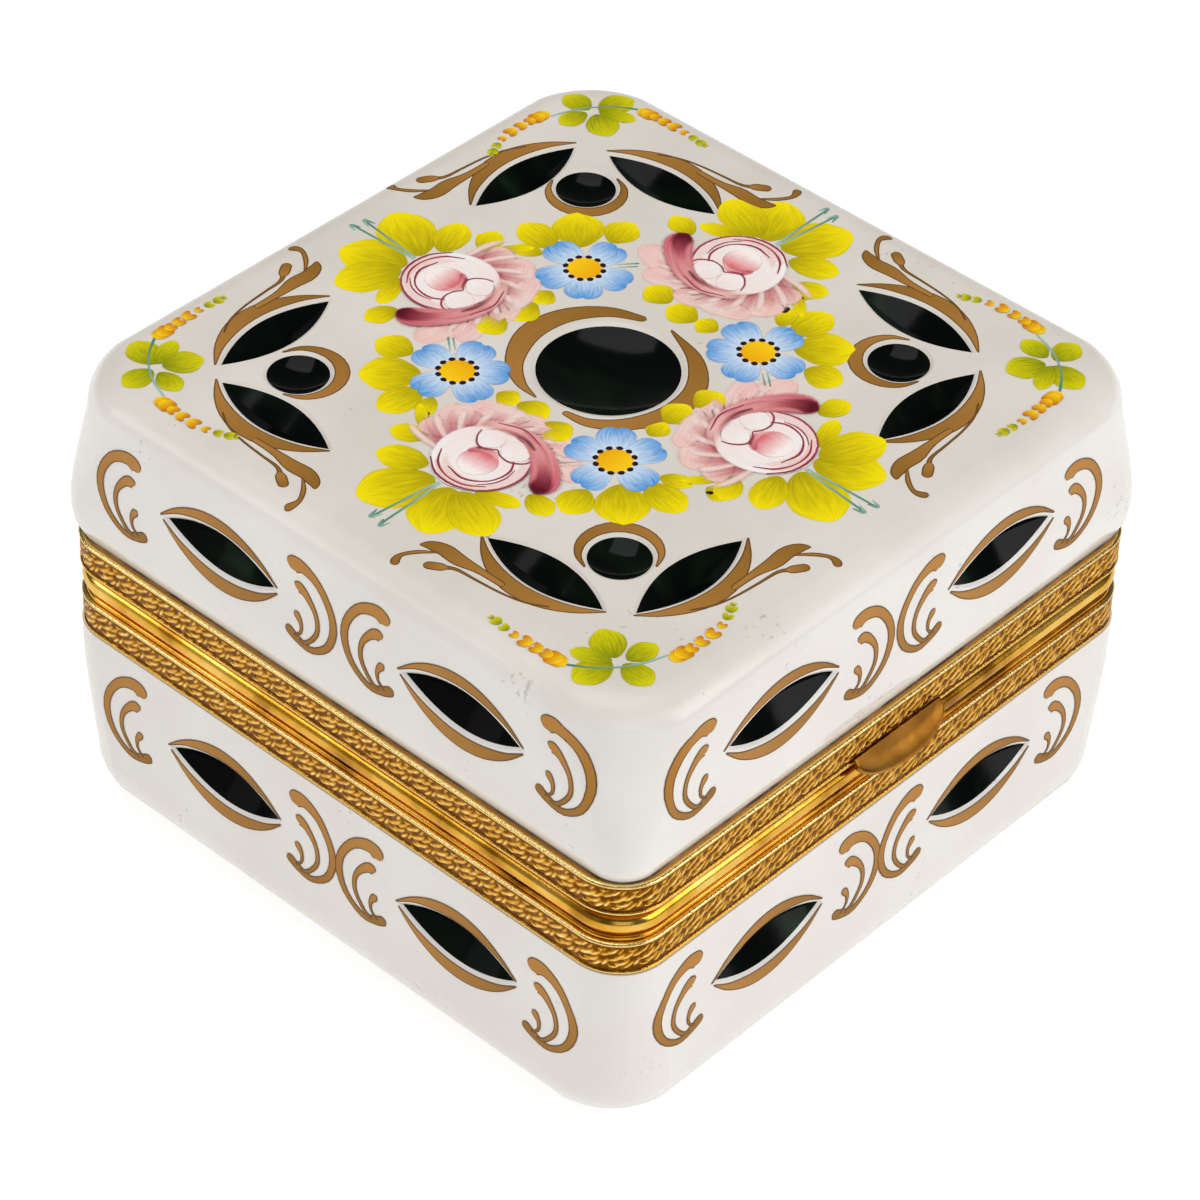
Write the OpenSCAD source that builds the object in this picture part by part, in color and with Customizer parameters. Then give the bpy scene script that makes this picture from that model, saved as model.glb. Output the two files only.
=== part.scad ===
// Cased glass casket with hinged gilt collars, millimetres, origin at the
// middle of the underside, front (thumb piece) towards -Y, hinge towards +Y.

/* [Box] */
// Width and depth over the gilt collars
collar_w = 130; // [100:0.5:180]
// Height over all
box_h = 90.3; // [78:0.1:130]
// Height of the seam between lid collar and base rim
seam_z = 50.9; // [44:0.1:70]
// Height of each chased band
band_h = 6.2; // [4.5:0.1:9]
// Plan corner radius of the collars
corner_r = 9.5; // [7.5:0.1:16]

/* [Glass] */
// Thickness of the dark inner glass wall
glass_t = 4.4; // [3.6:0.1:7]
// Thickness of the white casing over it
casing_t = 0.4; // [0.3:0.05:1]
// Plan corner radius at the top of the lid
top_corner_r = 17.6; // [12:0.1:26]
// Rounding of the top edge of the lid
top_edge_r = 5; // [3:0.1:8]
// Plan corner radius at the foot
foot_corner_r = 15.5; // [12:0.1:26]
// Rounding of the bottom edge
foot_edge_r = 10.5; // [6:0.1:11.5]
// Half width of the underside ground flat through the casing
ground_w = 52; // [35:0.5:53]
// How far the lid glass draws in above the ledge
lid_draw_in = 1.7; // [0.8:0.1:2]
// Level over the collar where that drawing in ends
lid_flare_h = 9; // [5:0.1:12]

/* [Cut windows] */
// Length of each leaf-shaped window
leaf_len = 25.2; // [16:0.1:30]
// Width of each leaf-shaped window
leaf_w = 7.8; // [4:0.1:9]
// Depth of the leaf cuts
leaf_depth = 3; // [1.5:0.1:3.4]
// Radius of the round window in the middle of the lid
round_r = 12; // [7:0.1:15]
// Radius of the four small round windows
spot_r = 5.2; // [3:0.1:6.5]
// Height of the lower window row above the foot
base_row_z = 25.1; // [20:0.1:30]
// Drop of the upper window row below the top
lid_row_drop = 15.1; // [12:0.1:24]
// Half the distance between the two windows of a side
side_pitch = 27; // [20:0.1:32]
// How far the pairs on front and left sit off centre towards their corner
hand_shift = 2.8; // [0:0.1:4]

/* [Hinge and thumb piece] */
// Length of the hinge along the back
hinge_len = 66; // [40:1:90]
// Outside diameter of the knuckles
knuckle_d = 3.8; // [3.4:0.1:5]
// Diameter of the hinge pin
pin_d = 2; // [1.6:0.1:2.4]
// Angle at which the heel stops the lid
stop_deg = 100; // [92:1:110]
// Width of the thumb piece
thumb_w = 22; // [14:0.5:30]
// Drop of the thumb piece below the lid band
thumb_drop = 5; // [3:0.1:5.5]

/* [Hidden] */

e = 0.01;                                // overlap of a cutter past a face
hull_fn = 40;                            // steps round a blended glass corner
edge_steps = 6;                          // steps over a rounded glass edge
post_h = 0.5;                            // height of a post inside a hull
foot_drop = 9;                           // the base is widest this far under its band
clear_h = 6;                             // height of a level cut at a collar
neck_root = 6;                           // the glass neck starts this far inside the form
ground_r = 6;                            // corner radius of the flat of the foot
hollow_r = 3;                            // the hollow's corners are rounder by this at its end
roof_r = 3;                              // rounding of the hollow under the lid top
floor_r = 6;                             // rounding of the hollow at the floor
lid_cut = 4;                             // height of the level cut under the lid glass
neck_in = 2.5;                           // the necks and the hollow step in about this far
wall_step = 0.5;                         // the base neck stands out by this, for bedding
collar_step = 2;                         // the riser and the bead step in about this far
lip_up = 2.2;                            // the locating lip stands this far past the seam
sleeve_up = 3.2;                         // height of the lid sleeve
bead_up = 3;                             // middle of the bead above the base band
ring_fn = 64;
sheet = 0.8;                             // brass sheet of the plain strips
band_t = 1;                              // chased strip
seam_gap = 0.2;                          // air between lid and base collars
slip = 0.5;                              // locating lip inside the lid sleeve

cw = collar_w / 2;                       // half width over the bands
k = collar_w / 130;                      // windows keep their place on the sides
lid_z0 = seam_z + 0.1;                   // underside of the lid collar
rim_z = lid_z0 - seam_gap;               // top of the base rim
lid_z1 = lid_z0 + band_h;                // top of the ledge
base_z1 = lid_z0 - band_h;               // top of the base band
band_top = base_z1 - 0.1;
band_bot = band_top - band_h - 0.3;
glass_w = cw + 0.1;                      // half width of the lid glass
foot_w = cw + 0.5;                       // half width of the base glass
cav_w = glass_w - glass_t - casing_t;    // half width of the hollow
cav_r = corner_r - neck_in;
floor_z = glass_t + casing_t + 0.8;
roof_z = box_h - glass_t - casing_t;
lid_gap = 0.2;                           // dark line between ledge and glass
lid_foot = lid_z1 + lid_gap;
lid_neck = cw - neck_in - 0.1;
base_neck = cw - neck_in - 0.1 + wall_step;
lip_out = cav_w - 0.1;
lip_in = lip_out - sheet;
lip_z = lid_z0 + lip_up;
sleeve_in = lip_out + slip;
sleeve_out = sleeve_in + sheet;
sleeve_z = lid_z0 + sleeve_up;
neck_foot = sleeve_z + 0.1;
riser_w = cw - collar_step + 0.2;
bead_r = 1.9;
bead_c = cw - collar_step - 0.2;
bead_z = base_z1 + bead_up;
fillet_h = 1;
lid_row_z = box_h - lid_row_drop;

axis_y = cw + knuckle_d / 2 + 0.1;
axis_z = seam_z;
leaf_t = 0.8;
leaf_y = cw + leaf_t;
knuckles = 5;
knuckle_gap = 0.15;
knuckle_len = hinge_len / knuckles;
heel_t = 1;
heel_len = 4.4;
heel_in = 2;                             // the heel is this much shorter at each end
pin_play = 0.05;

// ---- section helpers ----
module rsq(w, r) {                       // rounded square, half width w
    square([2 * w, 2 * (w - r)], center = true);
    square([2 * (w - r), 2 * w], center = true);
    for (x = [-1, 1], y = [-1, 1])
        translate([x * (w - r), y * (w - r)]) circle(r, $fn = ring_fn);
}

module ring(w_out, w_in, z0, z1) {       // strip bent round the collar line
    translate([0, 0, z0]) linear_extrude(z1 - z0) difference() {
        rsq(w_out, corner_r + w_out - cw);
        rsq(w_in, corner_r + w_in - cw);
    }
}

module corners(w, r, z) {                // four upright posts for a hull
    for (x = [-1, 1], y = [-1, 1])
        translate([x * (w - r), y * (w - r), z]) cylinder(r = r, h = post_h, $fn = hull_fn);
}

module soft_corners(w, r, er, z, up) {   // four discs with one rounded rim
    for (x = [-1, 1], y = [-1, 1])
        translate([x * (w - r), y * (w - r), z]) mirror([0, 0, up ? 0 : 1])
            rotate_extrude($fn = hull_fn) polygon(concat([[0, 0]],
                [for (i = [0 : edge_steps]) let (a = 90 * i / edge_steps)
                    [r - er + er * cos(a), er * sin(a)]], [[0, er]]));
}

module lid_form(t) {                     // lid outside, t inside the surface
    hull() {
        corners(glass_w - lid_draw_in - t, corner_r - t, lid_foot - 1);
        corners(glass_w - lid_draw_in / 3 - t, corner_r - t, lid_foot + lid_flare_h / 3);
        corners(glass_w - t, corner_r + 1 - t, lid_foot + lid_flare_h);
        soft_corners(glass_w - t, top_corner_r - t, top_edge_r - t, box_h - top_edge_r, true);
    }
}

module base_form(t) {                    // base outside, t inside the surface
    hull() {
        corners(cw - t, corner_r - t, band_bot + 2);
        corners(foot_w - t, corner_r + 2 - t, band_bot - foot_drop);
        soft_corners(foot_w - t, foot_corner_r - t, foot_edge_r - t, foot_edge_r, false);
    }
}

module form_cut(z, h)                    // takes a form off level at its collar
    translate([0, 0, z]) linear_extrude(h) rsq(foot_w + 2, corner_r);

module lid_hollow() {
    hull() {
        corners(cav_w, cav_r, neck_foot - 1);
        soft_corners(cav_w, cav_r + hollow_r, roof_r, roof_z - roof_r, true);
    }
}

module base_hollow() {
    hull() {
        corners(cav_w, cav_r, band_top);
        soft_corners(cav_w, cav_r + hollow_r, floor_r, floor_z + floor_r, false);
    }
}

// ---- wheel cuts ----
core_depth = leaf_depth - casing_t;
wheel_r = leaf_len * leaf_len / 8 / core_depth;
wheel_slope = leaf_w / 2 / core_depth;

module mitre_wheel() {                   // V-edged wheel, rim reaching leaf_depth in
    translate([0, 0, wheel_r - leaf_depth]) rotate([90, 0, 0])
        rotate_extrude($fn = 96) polygon([
            [wheel_r - 2 * leaf_depth, -2 * leaf_depth * wheel_slope],
            [wheel_r, 0],
            [wheel_r - 2 * leaf_depth, 2 * leaf_depth * wheel_slope]]);
}

module punty(r, d) {                     // hollow round cut of radius r in the core
    core = d - casing_t;
    sr = (r * r + core * core) / 2 / core;
    translate([0, 0, sr - d]) sphere(sr, $fn = 96);
}

module side_cuts(z, w) {                 // two leaf cuts on each of four sides
    for (a = [0 : 3], s = [-1, 1]) {
        shift = a == 0 ? -hand_shift : a == 3 ? hand_shift : 0;
        rotate([0, 0, 90 * a]) translate([k * (s * side_pitch + shift), -w, z])
            rotate([90, 0, 0]) mitre_wheel();
    }
}

// Places of the cuts on the lid top, set out by eye as on hand-cut glass
leaves_along = [[-31.4, 45.8], [30.1, 47.4], [-29.6, -44.6], [29.5, -43.3]];
leaves_across = [[-46.8, 30], [45, 29.1], [-44.9, -28.1], [46, -27]];
spots = [[-36.6, 35.1], [34.7, 37.4], [-34, -33.9], [35.3, -32.5]];

module top_cuts() {
    translate([0, 0, box_h]) {
        punty(round_r, leaf_depth);
        for (c = spots) translate(k * c) punty(spot_r, leaf_depth - 1.1);
        for (c = leaves_along) translate(k * c) mitre_wheel();
        for (c = leaves_across) translate(k * c) rotate([0, 0, 90]) mitre_wheel();
    }
}

// ---- chased bands ----
chase_pitch = 5.2;
chase_depth = 0.3;
chase_count = floor((cw - corner_r) / chase_pitch);

module chased_band(z0, z1) {
    zc = (z0 + z1) / 2;
    border = 0.7;
    difference() {
        ring(cw, cw - band_t, z0, z1);
        for (a = [0 : 3], i = [-chase_count : chase_count])
            rotate([0, 0, 90 * a]) translate([i * chase_pitch, -cw, zc])
                intersection() {
                    rotate([0, 38, 0]) cube([1.1, 2 * chase_depth, 2 * band_h], center = true);
                    cube([chase_pitch * 2, 2, z1 - z0 - 2 * border], center = true);
                }
    }
}

// ---- base ----
module base_glass() color([0.05, 0.14, 0.09]) difference() {
    union() {
        difference() {
            base_form(casing_t);
            form_cut(band_bot - 0.1, clear_h);
        }
        linear_extrude(2 * casing_t) rsq(ground_w * k, ground_r);
        translate([0, 0, band_bot - neck_root])
            linear_extrude(band_top - sheet - band_bot + neck_root - 0.6)
            rsq(base_neck, corner_r + base_neck - cw);
    }
    base_hollow();
    side_cuts(base_row_z, foot_w - 0.15);
}

module base_casing() color([0.95, 0.94, 0.92]) difference() {
    base_form(0);
    base_form(casing_t);
    translate([0, 0, -1]) linear_extrude(2) rsq(ground_w * k, ground_r);
    form_cut(band_bot - 0.1, clear_h);
    side_cuts(base_row_z, foot_w - 0.15);
}

module base_band() color([0.8, 0.6, 0.2]) chased_band(band_bot, band_top);

module base_shelf() color([0.8, 0.6, 0.2])
    ring(cw - band_t, lip_out, band_top - sheet, band_top);

module base_fillet_wire() color([0.85, 0.65, 0.25])
    ring(cw - 0.8, riser_w, band_top, band_top + fillet_h);

module base_riser() color([0.8, 0.6, 0.2]) {
    ring(riser_w, riser_w - sheet, band_top, rim_z);
    ring(riser_w - sheet, lip_out, rim_z - sheet, rim_z);
}

module base_bead() color([0.9, 0.7, 0.25]) difference() {
    r = corner_r + bead_c - cw;
    union() for (a = [0 : 3]) rotate([0, 0, 90 * a]) {
        translate([bead_c - r, -bead_c, bead_z]) rotate([0, -90, 0])
            cylinder(r = bead_r, h = 2 * (bead_c - r), $fn = ring_fn);
        translate([bead_c - r, r - bead_c, bead_z]) rotate([0, 0, -90])
            rotate_extrude(angle = 90, $fn = ring_fn) translate([r, 0]) circle(bead_r, $fn = 32);
    }
    translate([0, 0, bead_z - 2 * bead_r]) linear_extrude(4 * bead_r)
        rsq(riser_w, corner_r + riser_w - cw);
}

module base_lip() color([0.8, 0.6, 0.2]) ring(lip_out, lip_in, band_top - sheet, lip_z);

module base_bedding() color([0.9, 0.88, 0.82])
    ring(cw - band_t, base_neck, band_bot + 0.4, band_top - sheet);

// ---- lid ----
module lid_glass() color([0.05, 0.14, 0.09]) difference() {
    union() {
        difference() {
            lid_form(casing_t);
            form_cut(lid_foot - lid_cut, lid_cut);
        }
        translate([0, 0, neck_foot]) linear_extrude(lid_foot - neck_foot + neck_root - 1)
            rsq(lid_neck, corner_r + lid_neck - cw);
    }
    lid_hollow();
    side_cuts(lid_row_z, glass_w);
    top_cuts();
}

module lid_casing() color([0.95, 0.94, 0.92]) difference() {
    lid_form(0);
    lid_form(casing_t);
    form_cut(lid_foot - lid_cut, lid_cut);
    side_cuts(lid_row_z, glass_w);
    top_cuts();
}

module lid_band() color([0.8, 0.6, 0.2]) chased_band(lid_z0, lid_z1);

module lid_ledge() color([0.8, 0.6, 0.2])
    ring(cw - band_t, lid_neck + 0.1, lid_z1 - sheet, lid_z1);

module lid_rim() color([0.8, 0.6, 0.2])
    ring(cw - band_t, sleeve_out, lid_z0, lid_z0 + sheet);

module lid_sleeve() color([0.8, 0.6, 0.2]) ring(sleeve_out, sleeve_in, lid_z0, sleeve_z);

module lid_bedding() color([0.9, 0.88, 0.82]) {
    ring(cw - band_t, sleeve_out, lid_z0 + sheet, sleeve_z);
    ring(cw - band_t, lid_neck, sleeve_z, lid_z1 - sheet);
}

// ---- hinge ----
module barrel(i) {                       // knuckle number i, bored for the pin
    translate([-hinge_len / 2 + i * knuckle_len + knuckle_gap, axis_y, axis_z])
        rotate([0, 90, 0])
            cylinder(d = knuckle_d, h = knuckle_len - 2 * knuckle_gap, $fn = ring_fn);
}

module pin_bore()
    translate([-hinge_len, axis_y, axis_z]) rotate([0, 90, 0])
        cylinder(d = pin_d + 2 * pin_play, h = 2 * hinge_len, $fn = ring_fn);

module leaf_slots(first) {               // room for the other leaf's knuckles
    for (i = [first : 2 : knuckles - 1])
        translate([-hinge_len / 2 + i * knuckle_len - knuckle_gap, cw - 1,
                   axis_z - knuckle_d / 2 - 0.3])
            cube([knuckle_len + 2 * knuckle_gap, leaf_t + 2, knuckle_d + 0.6]);
}

module hinge_leaf_base() color([0.8, 0.6, 0.2]) difference() {
    union() {
        difference() {
            translate([-hinge_len / 2, cw, band_bot + 1])
                cube([hinge_len, leaf_t, axis_z - band_bot - 1.3]);
            leaf_slots(0);
        }
        for (i = [1 : 2 : knuckles - 1]) barrel(i);
    }
    pin_bore();
}

module heel(i) {                         // tail that meets the base leaf at stop_deg
    translate([-hinge_len / 2 + i * knuckle_len + heel_in, axis_y, axis_z])
        rotate([stop_deg, 0, 0])
            translate([0, leaf_y + 0.08 - axis_y, -heel_len])
                cube([knuckle_len - 2 * heel_in, heel_t, heel_len - 1.2]);
}

module hinge_leaf_lid() color([0.8, 0.6, 0.2]) difference() {
    union() {
        difference() {
            translate([-hinge_len / 2, cw, lid_z0 + 0.3])
                cube([hinge_len, leaf_t, band_h - 0.8]);
            leaf_slots(1);
        }
        for (i = [0 : 2 : knuckles - 1]) {
            barrel(i);
            heel(i);
        }
    }
    pin_bore();
}

module hinge_pin() color([0.75, 0.55, 0.2])
    translate([-hinge_len / 2 - 0.4, axis_y, axis_z]) rotate([0, 90, 0])
        cylinder(d = pin_d, h = hinge_len + 0.8, $fn = ring_fn);

// ---- thumb piece ----
thumb_t = 1.1;
thumb_tilt = 38;
module thumb_piece() color([0.85, 0.65, 0.25]) difference() {
    arc_r = (thumb_w * thumb_w / 4 + thumb_drop * thumb_drop) / 2 / thumb_drop;
    translate([0, -cw, lid_z0 + 0.5]) rotate([90 - thumb_tilt, 0, 0])
        linear_extrude(thumb_t) intersection() {
            translate([0, arc_r - thumb_drop]) circle(arc_r, $fn = ring_fn);
            translate([-thumb_w, -thumb_drop - 1]) square([2 * thumb_w, thumb_drop + 1]);
        }
    translate([-thumb_w, -cw, seam_z - thumb_w / 2]) cube([2 * thumb_w, thumb_w, thumb_w]);
}

base_glass();
base_casing();
base_band();
base_shelf();
base_fillet_wire();
base_riser();
base_bead();
base_lip();
base_bedding();
hinge_leaf_base();
hinge_pin();
lid_glass();
lid_casing();
lid_band();
lid_ledge();
lid_rim();
lid_sleeve();
lid_bedding();
hinge_leaf_lid();
thumb_piece();
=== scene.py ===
# %% [markdown]
# # A cased glass casket with gilt collars
# The real box is dark green glass with a thin skin of opaque white glass over it.
# A cutter's wheel opens windows through the white, a painter adds fired gold and
# enamel flowers, and a metalworker fits two chased brass collars and a hinge.
# The CAD model gives every size here. This script only dresses it: smooth glass
# in place of the faceted solids, real wheel cuts, paint laid on as thin strokes.

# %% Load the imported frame
import math

import bmesh
import bpy
from mathutils import Matrix, Vector, noise
from mathutils.bvhtree import BVHTree


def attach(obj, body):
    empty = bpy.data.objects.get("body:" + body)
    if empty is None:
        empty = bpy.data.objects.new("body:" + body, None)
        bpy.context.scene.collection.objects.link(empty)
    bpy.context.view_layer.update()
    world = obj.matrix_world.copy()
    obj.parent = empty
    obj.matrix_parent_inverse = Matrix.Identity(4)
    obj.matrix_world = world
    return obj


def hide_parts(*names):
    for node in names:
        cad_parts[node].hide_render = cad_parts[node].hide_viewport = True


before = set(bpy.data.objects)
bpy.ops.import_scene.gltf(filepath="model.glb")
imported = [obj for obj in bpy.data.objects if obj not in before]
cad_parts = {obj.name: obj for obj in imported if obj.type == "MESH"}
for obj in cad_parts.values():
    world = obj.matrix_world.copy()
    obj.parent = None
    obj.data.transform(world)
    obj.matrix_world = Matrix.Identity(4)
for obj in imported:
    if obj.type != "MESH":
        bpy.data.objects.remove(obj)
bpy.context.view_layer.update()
MM = 0.001

# %% [markdown]
# ## Camera
# A small object photographed from a good distance with a long lens keeps its
# edges almost parallel. The camera looks down at the near corner at 40 degrees,
# so the lid, the left side and the front all show. It is set by its direction,
# its distance and a slight roll, because that is how a photographer sets it up.

# %% Camera from direction, distance and roll
DISTANCE, SHIFT_RIGHT, SHIFT_UP, LENS = 785.014, -0.265, -7.233, 139.0  # mm
MIDDLE = Vector((0, 0, 50))  # mm, what the camera turns about
turn, rise, tilt = math.radians(-48.4996), math.radians(40.3673), math.radians(2.0960)
back = Vector((math.sin(turn) * math.cos(rise), -math.cos(turn) * math.cos(rise), math.sin(rise)))
level = Vector((math.cos(turn), math.sin(turn), 0))
upright = back.cross(level)
right = level * math.cos(tilt) + upright * math.sin(tilt)
above = upright * math.cos(tilt) - level * math.sin(tilt)
spot = (MIDDLE + back * DISTANCE + right * SHIFT_RIGHT + above * SHIFT_UP) * MM
camera = bpy.data.objects.new("camera", bpy.data.cameras.new("camera"))
camera.data.lens = LENS
camera.data.clip_start = 0.05
camera.matrix_world = Matrix((right, above, back)).transposed().to_4x4()
camera.matrix_world.translation = spot
bpy.context.scene.collection.objects.link(camera)
bpy.context.scene.camera = camera
print("camera at", [round(x, 3) for x in spot])

# %% [markdown]
# ## Materials
# Each material starts from the real stuff: its usual colour, how much it
# reflects and how its surface was finished. Colours are written as the hex
# values a colour picker gives and turned to linear light by one function. One
# small function adds any node with its settings and links, and a pattern's scale
# comes from the real width of a streak or a grain in millimetres.

# %% Helpers for every material
def tint(text):
    """Hex sRGB to the linear colour that shaders use."""
    part = [int(text[i:i + 2], 16) / 255 for i in (1, 3, 5)]
    return [c / 12.92 if c <= 0.04045 else ((c + 0.055) / 1.055) ** 2.4 for c in part] + [1]


def per_metre(width):
    """Noise scale whose blobs are about this wide in mm."""
    return 1 / (width * MM)


def fill(mat, node, values):
    """Puts a number or colour on a socket, or links it to a node or to one of its outputs."""
    for key, value in values.items():
        if isinstance(value, bpy.types.Node):
            value = value.outputs[0]
        if isinstance(value, bpy.types.NodeSocket):
            mat.node_tree.links.new(value, node.inputs[key])
        else:
            node.inputs[key].default_value = value


def add(mat, kind, settings=None, links=None):
    """One node with its settings and what goes on its sockets."""
    node = mat.node_tree.nodes.new("ShaderNode" + kind)
    for key, value in (settings or {}).items():
        if key == "stops":
            ramp = node.color_ramp
            while len(ramp.elements) < len(value):
                ramp.elements.new(0.5)
            for stop, (place, colour) in zip(ramp.elements, value):
                stop.position, stop.color = place, tint(colour)
        else:
            setattr(node, key, value)
    fill(mat, node, links or {})
    return node


def finish_of(name, values):
    """A new material for a finish, and its surface shader with plain numbers set."""
    mat = bpy.data.materials.new(name)
    mat.use_nodes = True
    shader = mat.node_tree.nodes["Principled BSDF"]
    fill(mat, shader, values)
    return mat, shader


print("mid grey is", round(tint("#808080")[0], 3), "in linear light; 2 mm blobs need scale", per_metre(2))

# %% White casing glass
# Opal glass: milk white with a little light going in, fire polished on the sides.
# The lid top was rubbed for the painter, so it is duller; its colour there is also made a touch greyer.
GROUND_TOP = {"From Min": 0.0868, "From Max": 0.0902}  # m, from the rounded edge up to the flat top
white, skin = finish_of("opal_casing_glass", {
    "IOR": 1.52, "Subsurface Weight": 0.06, "Subsurface Scale": 0.5,
    "Subsurface Radius": (0.002, 0.0018, 0.0015)})
where = add(white, "TexCoord").outputs["Object"]
height = add(white, "SeparateXYZ", links={0: where}).outputs["Z"]
top = add(white, "MapRange", links={"Value": height, **GROUND_TOP})
cloud = add(white, "TexNoise", links={"Vector": where, "Scale": per_metre(22.2), "Detail": 4.0})
tone = add(white, "ValToRGB", {"stops": [(0.35, "#EBE6DF"), (0.7, "#F1EDE7")]}, {0: cloud})
# The flat top gets a greyer colour than the sides.
greyer_top = add(white, "ValToRGB", {"stops": [(0.35, "#DDD5CA"), (0.7, "#E6DFD5")]}, {0: cloud})
body = add(white, "MixRGB", links={0: top, 1: tone, 2: greyer_top})
speck = add(white, "TexNoise", links={"Vector": where, "Scale": per_metre(1.111), "Detail": 3.0})
patch = add(white, "TexNoise", links={"Vector": where, "Scale": per_metre(16.7), "Detail": 1.0})
both = add(white, "Math", {"operation": "MULTIPLY"}, {0: speck, 1: patch})
dirt = add(white, "MapRange", links={"Value": both, "From Min": 0.42, "From Max": 0.48, "To Max": 0.35})
soiled = add(white, "MixRGB", links={0: dirt, 1: body, 2: tint("#8C7F70")})
gloss = add(white, "MapRange", links={"Value": top, "To Min": 0.14, "To Max": 0.42})
ripple = add(white, "TexNoise", links={"Vector": where, "Scale": per_metre(14.3), "Detail": 2.0})
wave = add(white, "Bump", links={"Strength": 0.12, "Distance": 0.0004, "Height": ripple})
fill(white, skin, {"Base Color": soiled, "Roughness": gloss, "Normal": wave})
print("casing material:", len(white.node_tree.nodes), "nodes")

# %% Dark green core glass
# Iron-green glass so deep in colour that a wall of it reads black, with faint
# green streaks where light gets in. The cutter polished the windows with felt.
dark, core = finish_of("green_black_core_glass", {"IOR": 1.52, "Roughness": 0.11, "Specular IOR Level": 0.09})
where = add(dark, "TexCoord").outputs["Object"]
STREAK = (11.1, 37.0, 15.2)  # mm, the size of a streak each way
long = add(dark, "Mapping", links={"Vector": where, "Scale": [per_metre(width) for width in STREAK]})
streak = add(dark, "TexNoise", links={"Vector": long, "Scale": 1.0, "Detail": 2.0, "Distortion": 0.8})
depth = add(dark, "ValToRGB", {"stops": [
    (0.5, "#060907"), (0.62, "#0A140D"), (0.75, "#15301D")]}, {0: streak})
grind = add(dark, "TexNoise", links={"Vector": where, "Scale": per_metre(3.85), "Detail": 2.0})
mark = add(dark, "Bump", links={"Strength": 0.10, "Distance": 0.0002, "Height": grind})
fill(dark, core, {"Base Color": depth, "Normal": mark})
print("core glass material:", len(dark.node_tree.nodes), "nodes")

# %% Gilt brass, chased and plain
# Brass under fire gilding: warm yellow on what a cloth reaches, brown in every
# hollow where polish and dust stay. On chased brass the colour also holds painted
# light: painted shade in the hollows, painted highlight on the crowns. The relief attribute says which is
# which.
def gilt_brass(name, rough, grain, stops, chased=False):
    """Grain is the width of the marks in mm; stops colour the share of polish, from hollow to crown, and on
    chased brass also painted shade in hollows and painted highlight on crowns.
    """
    mat, metal = finish_of(name, {"Metallic": 1.0})
    spot_at = add(mat, "TexCoord").outputs["Object"]
    fine = add(mat, "TexNoise", links={"Vector": spot_at, "Scale": per_metre(grain), "Detail": 4.0})
    share = add(mat, "TexNoise", links={"Vector": spot_at, "Scale": per_metre(11.1), "Detail": 3.0})
    if chased:
        # Chased: the relief also paints shade into the hollows and a highlight onto the crowns, besides the
        # real patina.
        high = add(mat, "Attribute", {"attribute_name": "relief"}).outputs["Fac"]
        speckled = add(mat, "Math", {"operation": "MULTIPLY_ADD"}, {0: fine, 1: 0.5, 2: -0.25})
        share = add(mat, "Math", {"operation": "ADD"}, {0: high, 1: speckled})
    colour = add(mat, "ValToRGB", {"stops": stops}, {0: share})
    rub = add(mat, "MapRange", links={"Value": fine, "To Min": rough, "To Max": rough + 0.16})
    dent = add(mat, "Bump", links={"Strength": 0.35 if chased else 0.12, "Distance": 0.0002, "Height": fine})
    fill(mat, metal, {"Base Color": colour, "Roughness": rub, "Normal": dent})
    return mat


# Chased: brown ground, pale crowns, partly patina and partly painted shade and painted highlight. Burnished:
# the bead, mirror-like. Satin: flat strips, hazy.
# Worn: the thumb piece, browned by hands.
chased_gilt = gilt_brass("gilt_brass_chased", 0.16, 0.4545, chased=True, stops=[
    (0.05, "#683C08"), (0.35, "#AE7414"), (0.65, "#E4A83A"), (0.95, "#FFE49C")])
plain_gilt = gilt_brass("gilt_brass_burnished", 0.12, 2.0, [
    (0.3, "#8A5612"), (0.48, "#E0A636"), (0.8, "#FFDA74")])
satin_gilt = gilt_brass("gilt_brass_satin", 0.36, 0.7143, [
    (0.3, "#C8924E"), (0.55, "#DAA764"), (0.8, "#E8BC7C")])
worn_gilt = gilt_brass("gilt_brass_worn", 0.28, 1.111, [
    (0.3, "#6E4312"), (0.55, "#A8712A"), (0.8, "#C89244")])

# %% Plaster bedding, and old cement that also paints a shadow
# The collars are set on the glass rim in plaster, chalky and dull. It shows only
# in the narrow gaps when the lid is up.
plaster, chalk = finish_of("plaster_bedding", {"Roughness": 0.9})
where = add(plaster, "TexCoord").outputs["Object"]
grit = add(plaster, "TexNoise", links={"Vector": where, "Scale": per_metre(0.667), "Detail": 3.0})
dull = add(plaster, "ValToRGB", {"stops": [(0.3, "#C9C2B2"), (0.7, "#E2DCCD")]}, {0: grit})
rough = add(plaster, "Bump", links={"Strength": 0.4, "Distance": 0.0002, "Height": grit})
fill(plaster, chalk, {"Base Color": dull, "Normal": rough})

# The same plaster where it meets the air round the lid glass, browned to a thin dark line. The line is also
# painted shadow for the gap under the lid glass.
cement_and_shade, crust = finish_of("old_cement_and_gap_shadow", {"Roughness": 0.7})
where = add(cement_and_shade, "TexCoord").outputs["Object"]
stain = add(cement_and_shade, "TexNoise", links={"Vector": where, "Scale": per_metre(4.55)})
aged_and_shaded = add(cement_and_shade, "ValToRGB", {"stops": [(0.35, "#4A3520"), (0.7, "#A08054")]}, {0: stain})
fill(cement_and_shade, crust, {"Base Color": aged_and_shaded})
print("metal, plaster and cement materials made")

# %% [markdown]
# ## Brush pigments
# Enamel and liquid gold go on with a brush, so each stroke has a run of bristle
# lines, thin edges and a heavier end. Every stroke mesh carries one attribute,
# flow: the way along the stroke, whose whole number says which stroke it is, the
# way across, and the distance in from its border. One recipe makes all pigments.

# %% One recipe for brushed pigment
SMOOTH = {"interpolation_type": "SMOOTHSTEP"}


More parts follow.
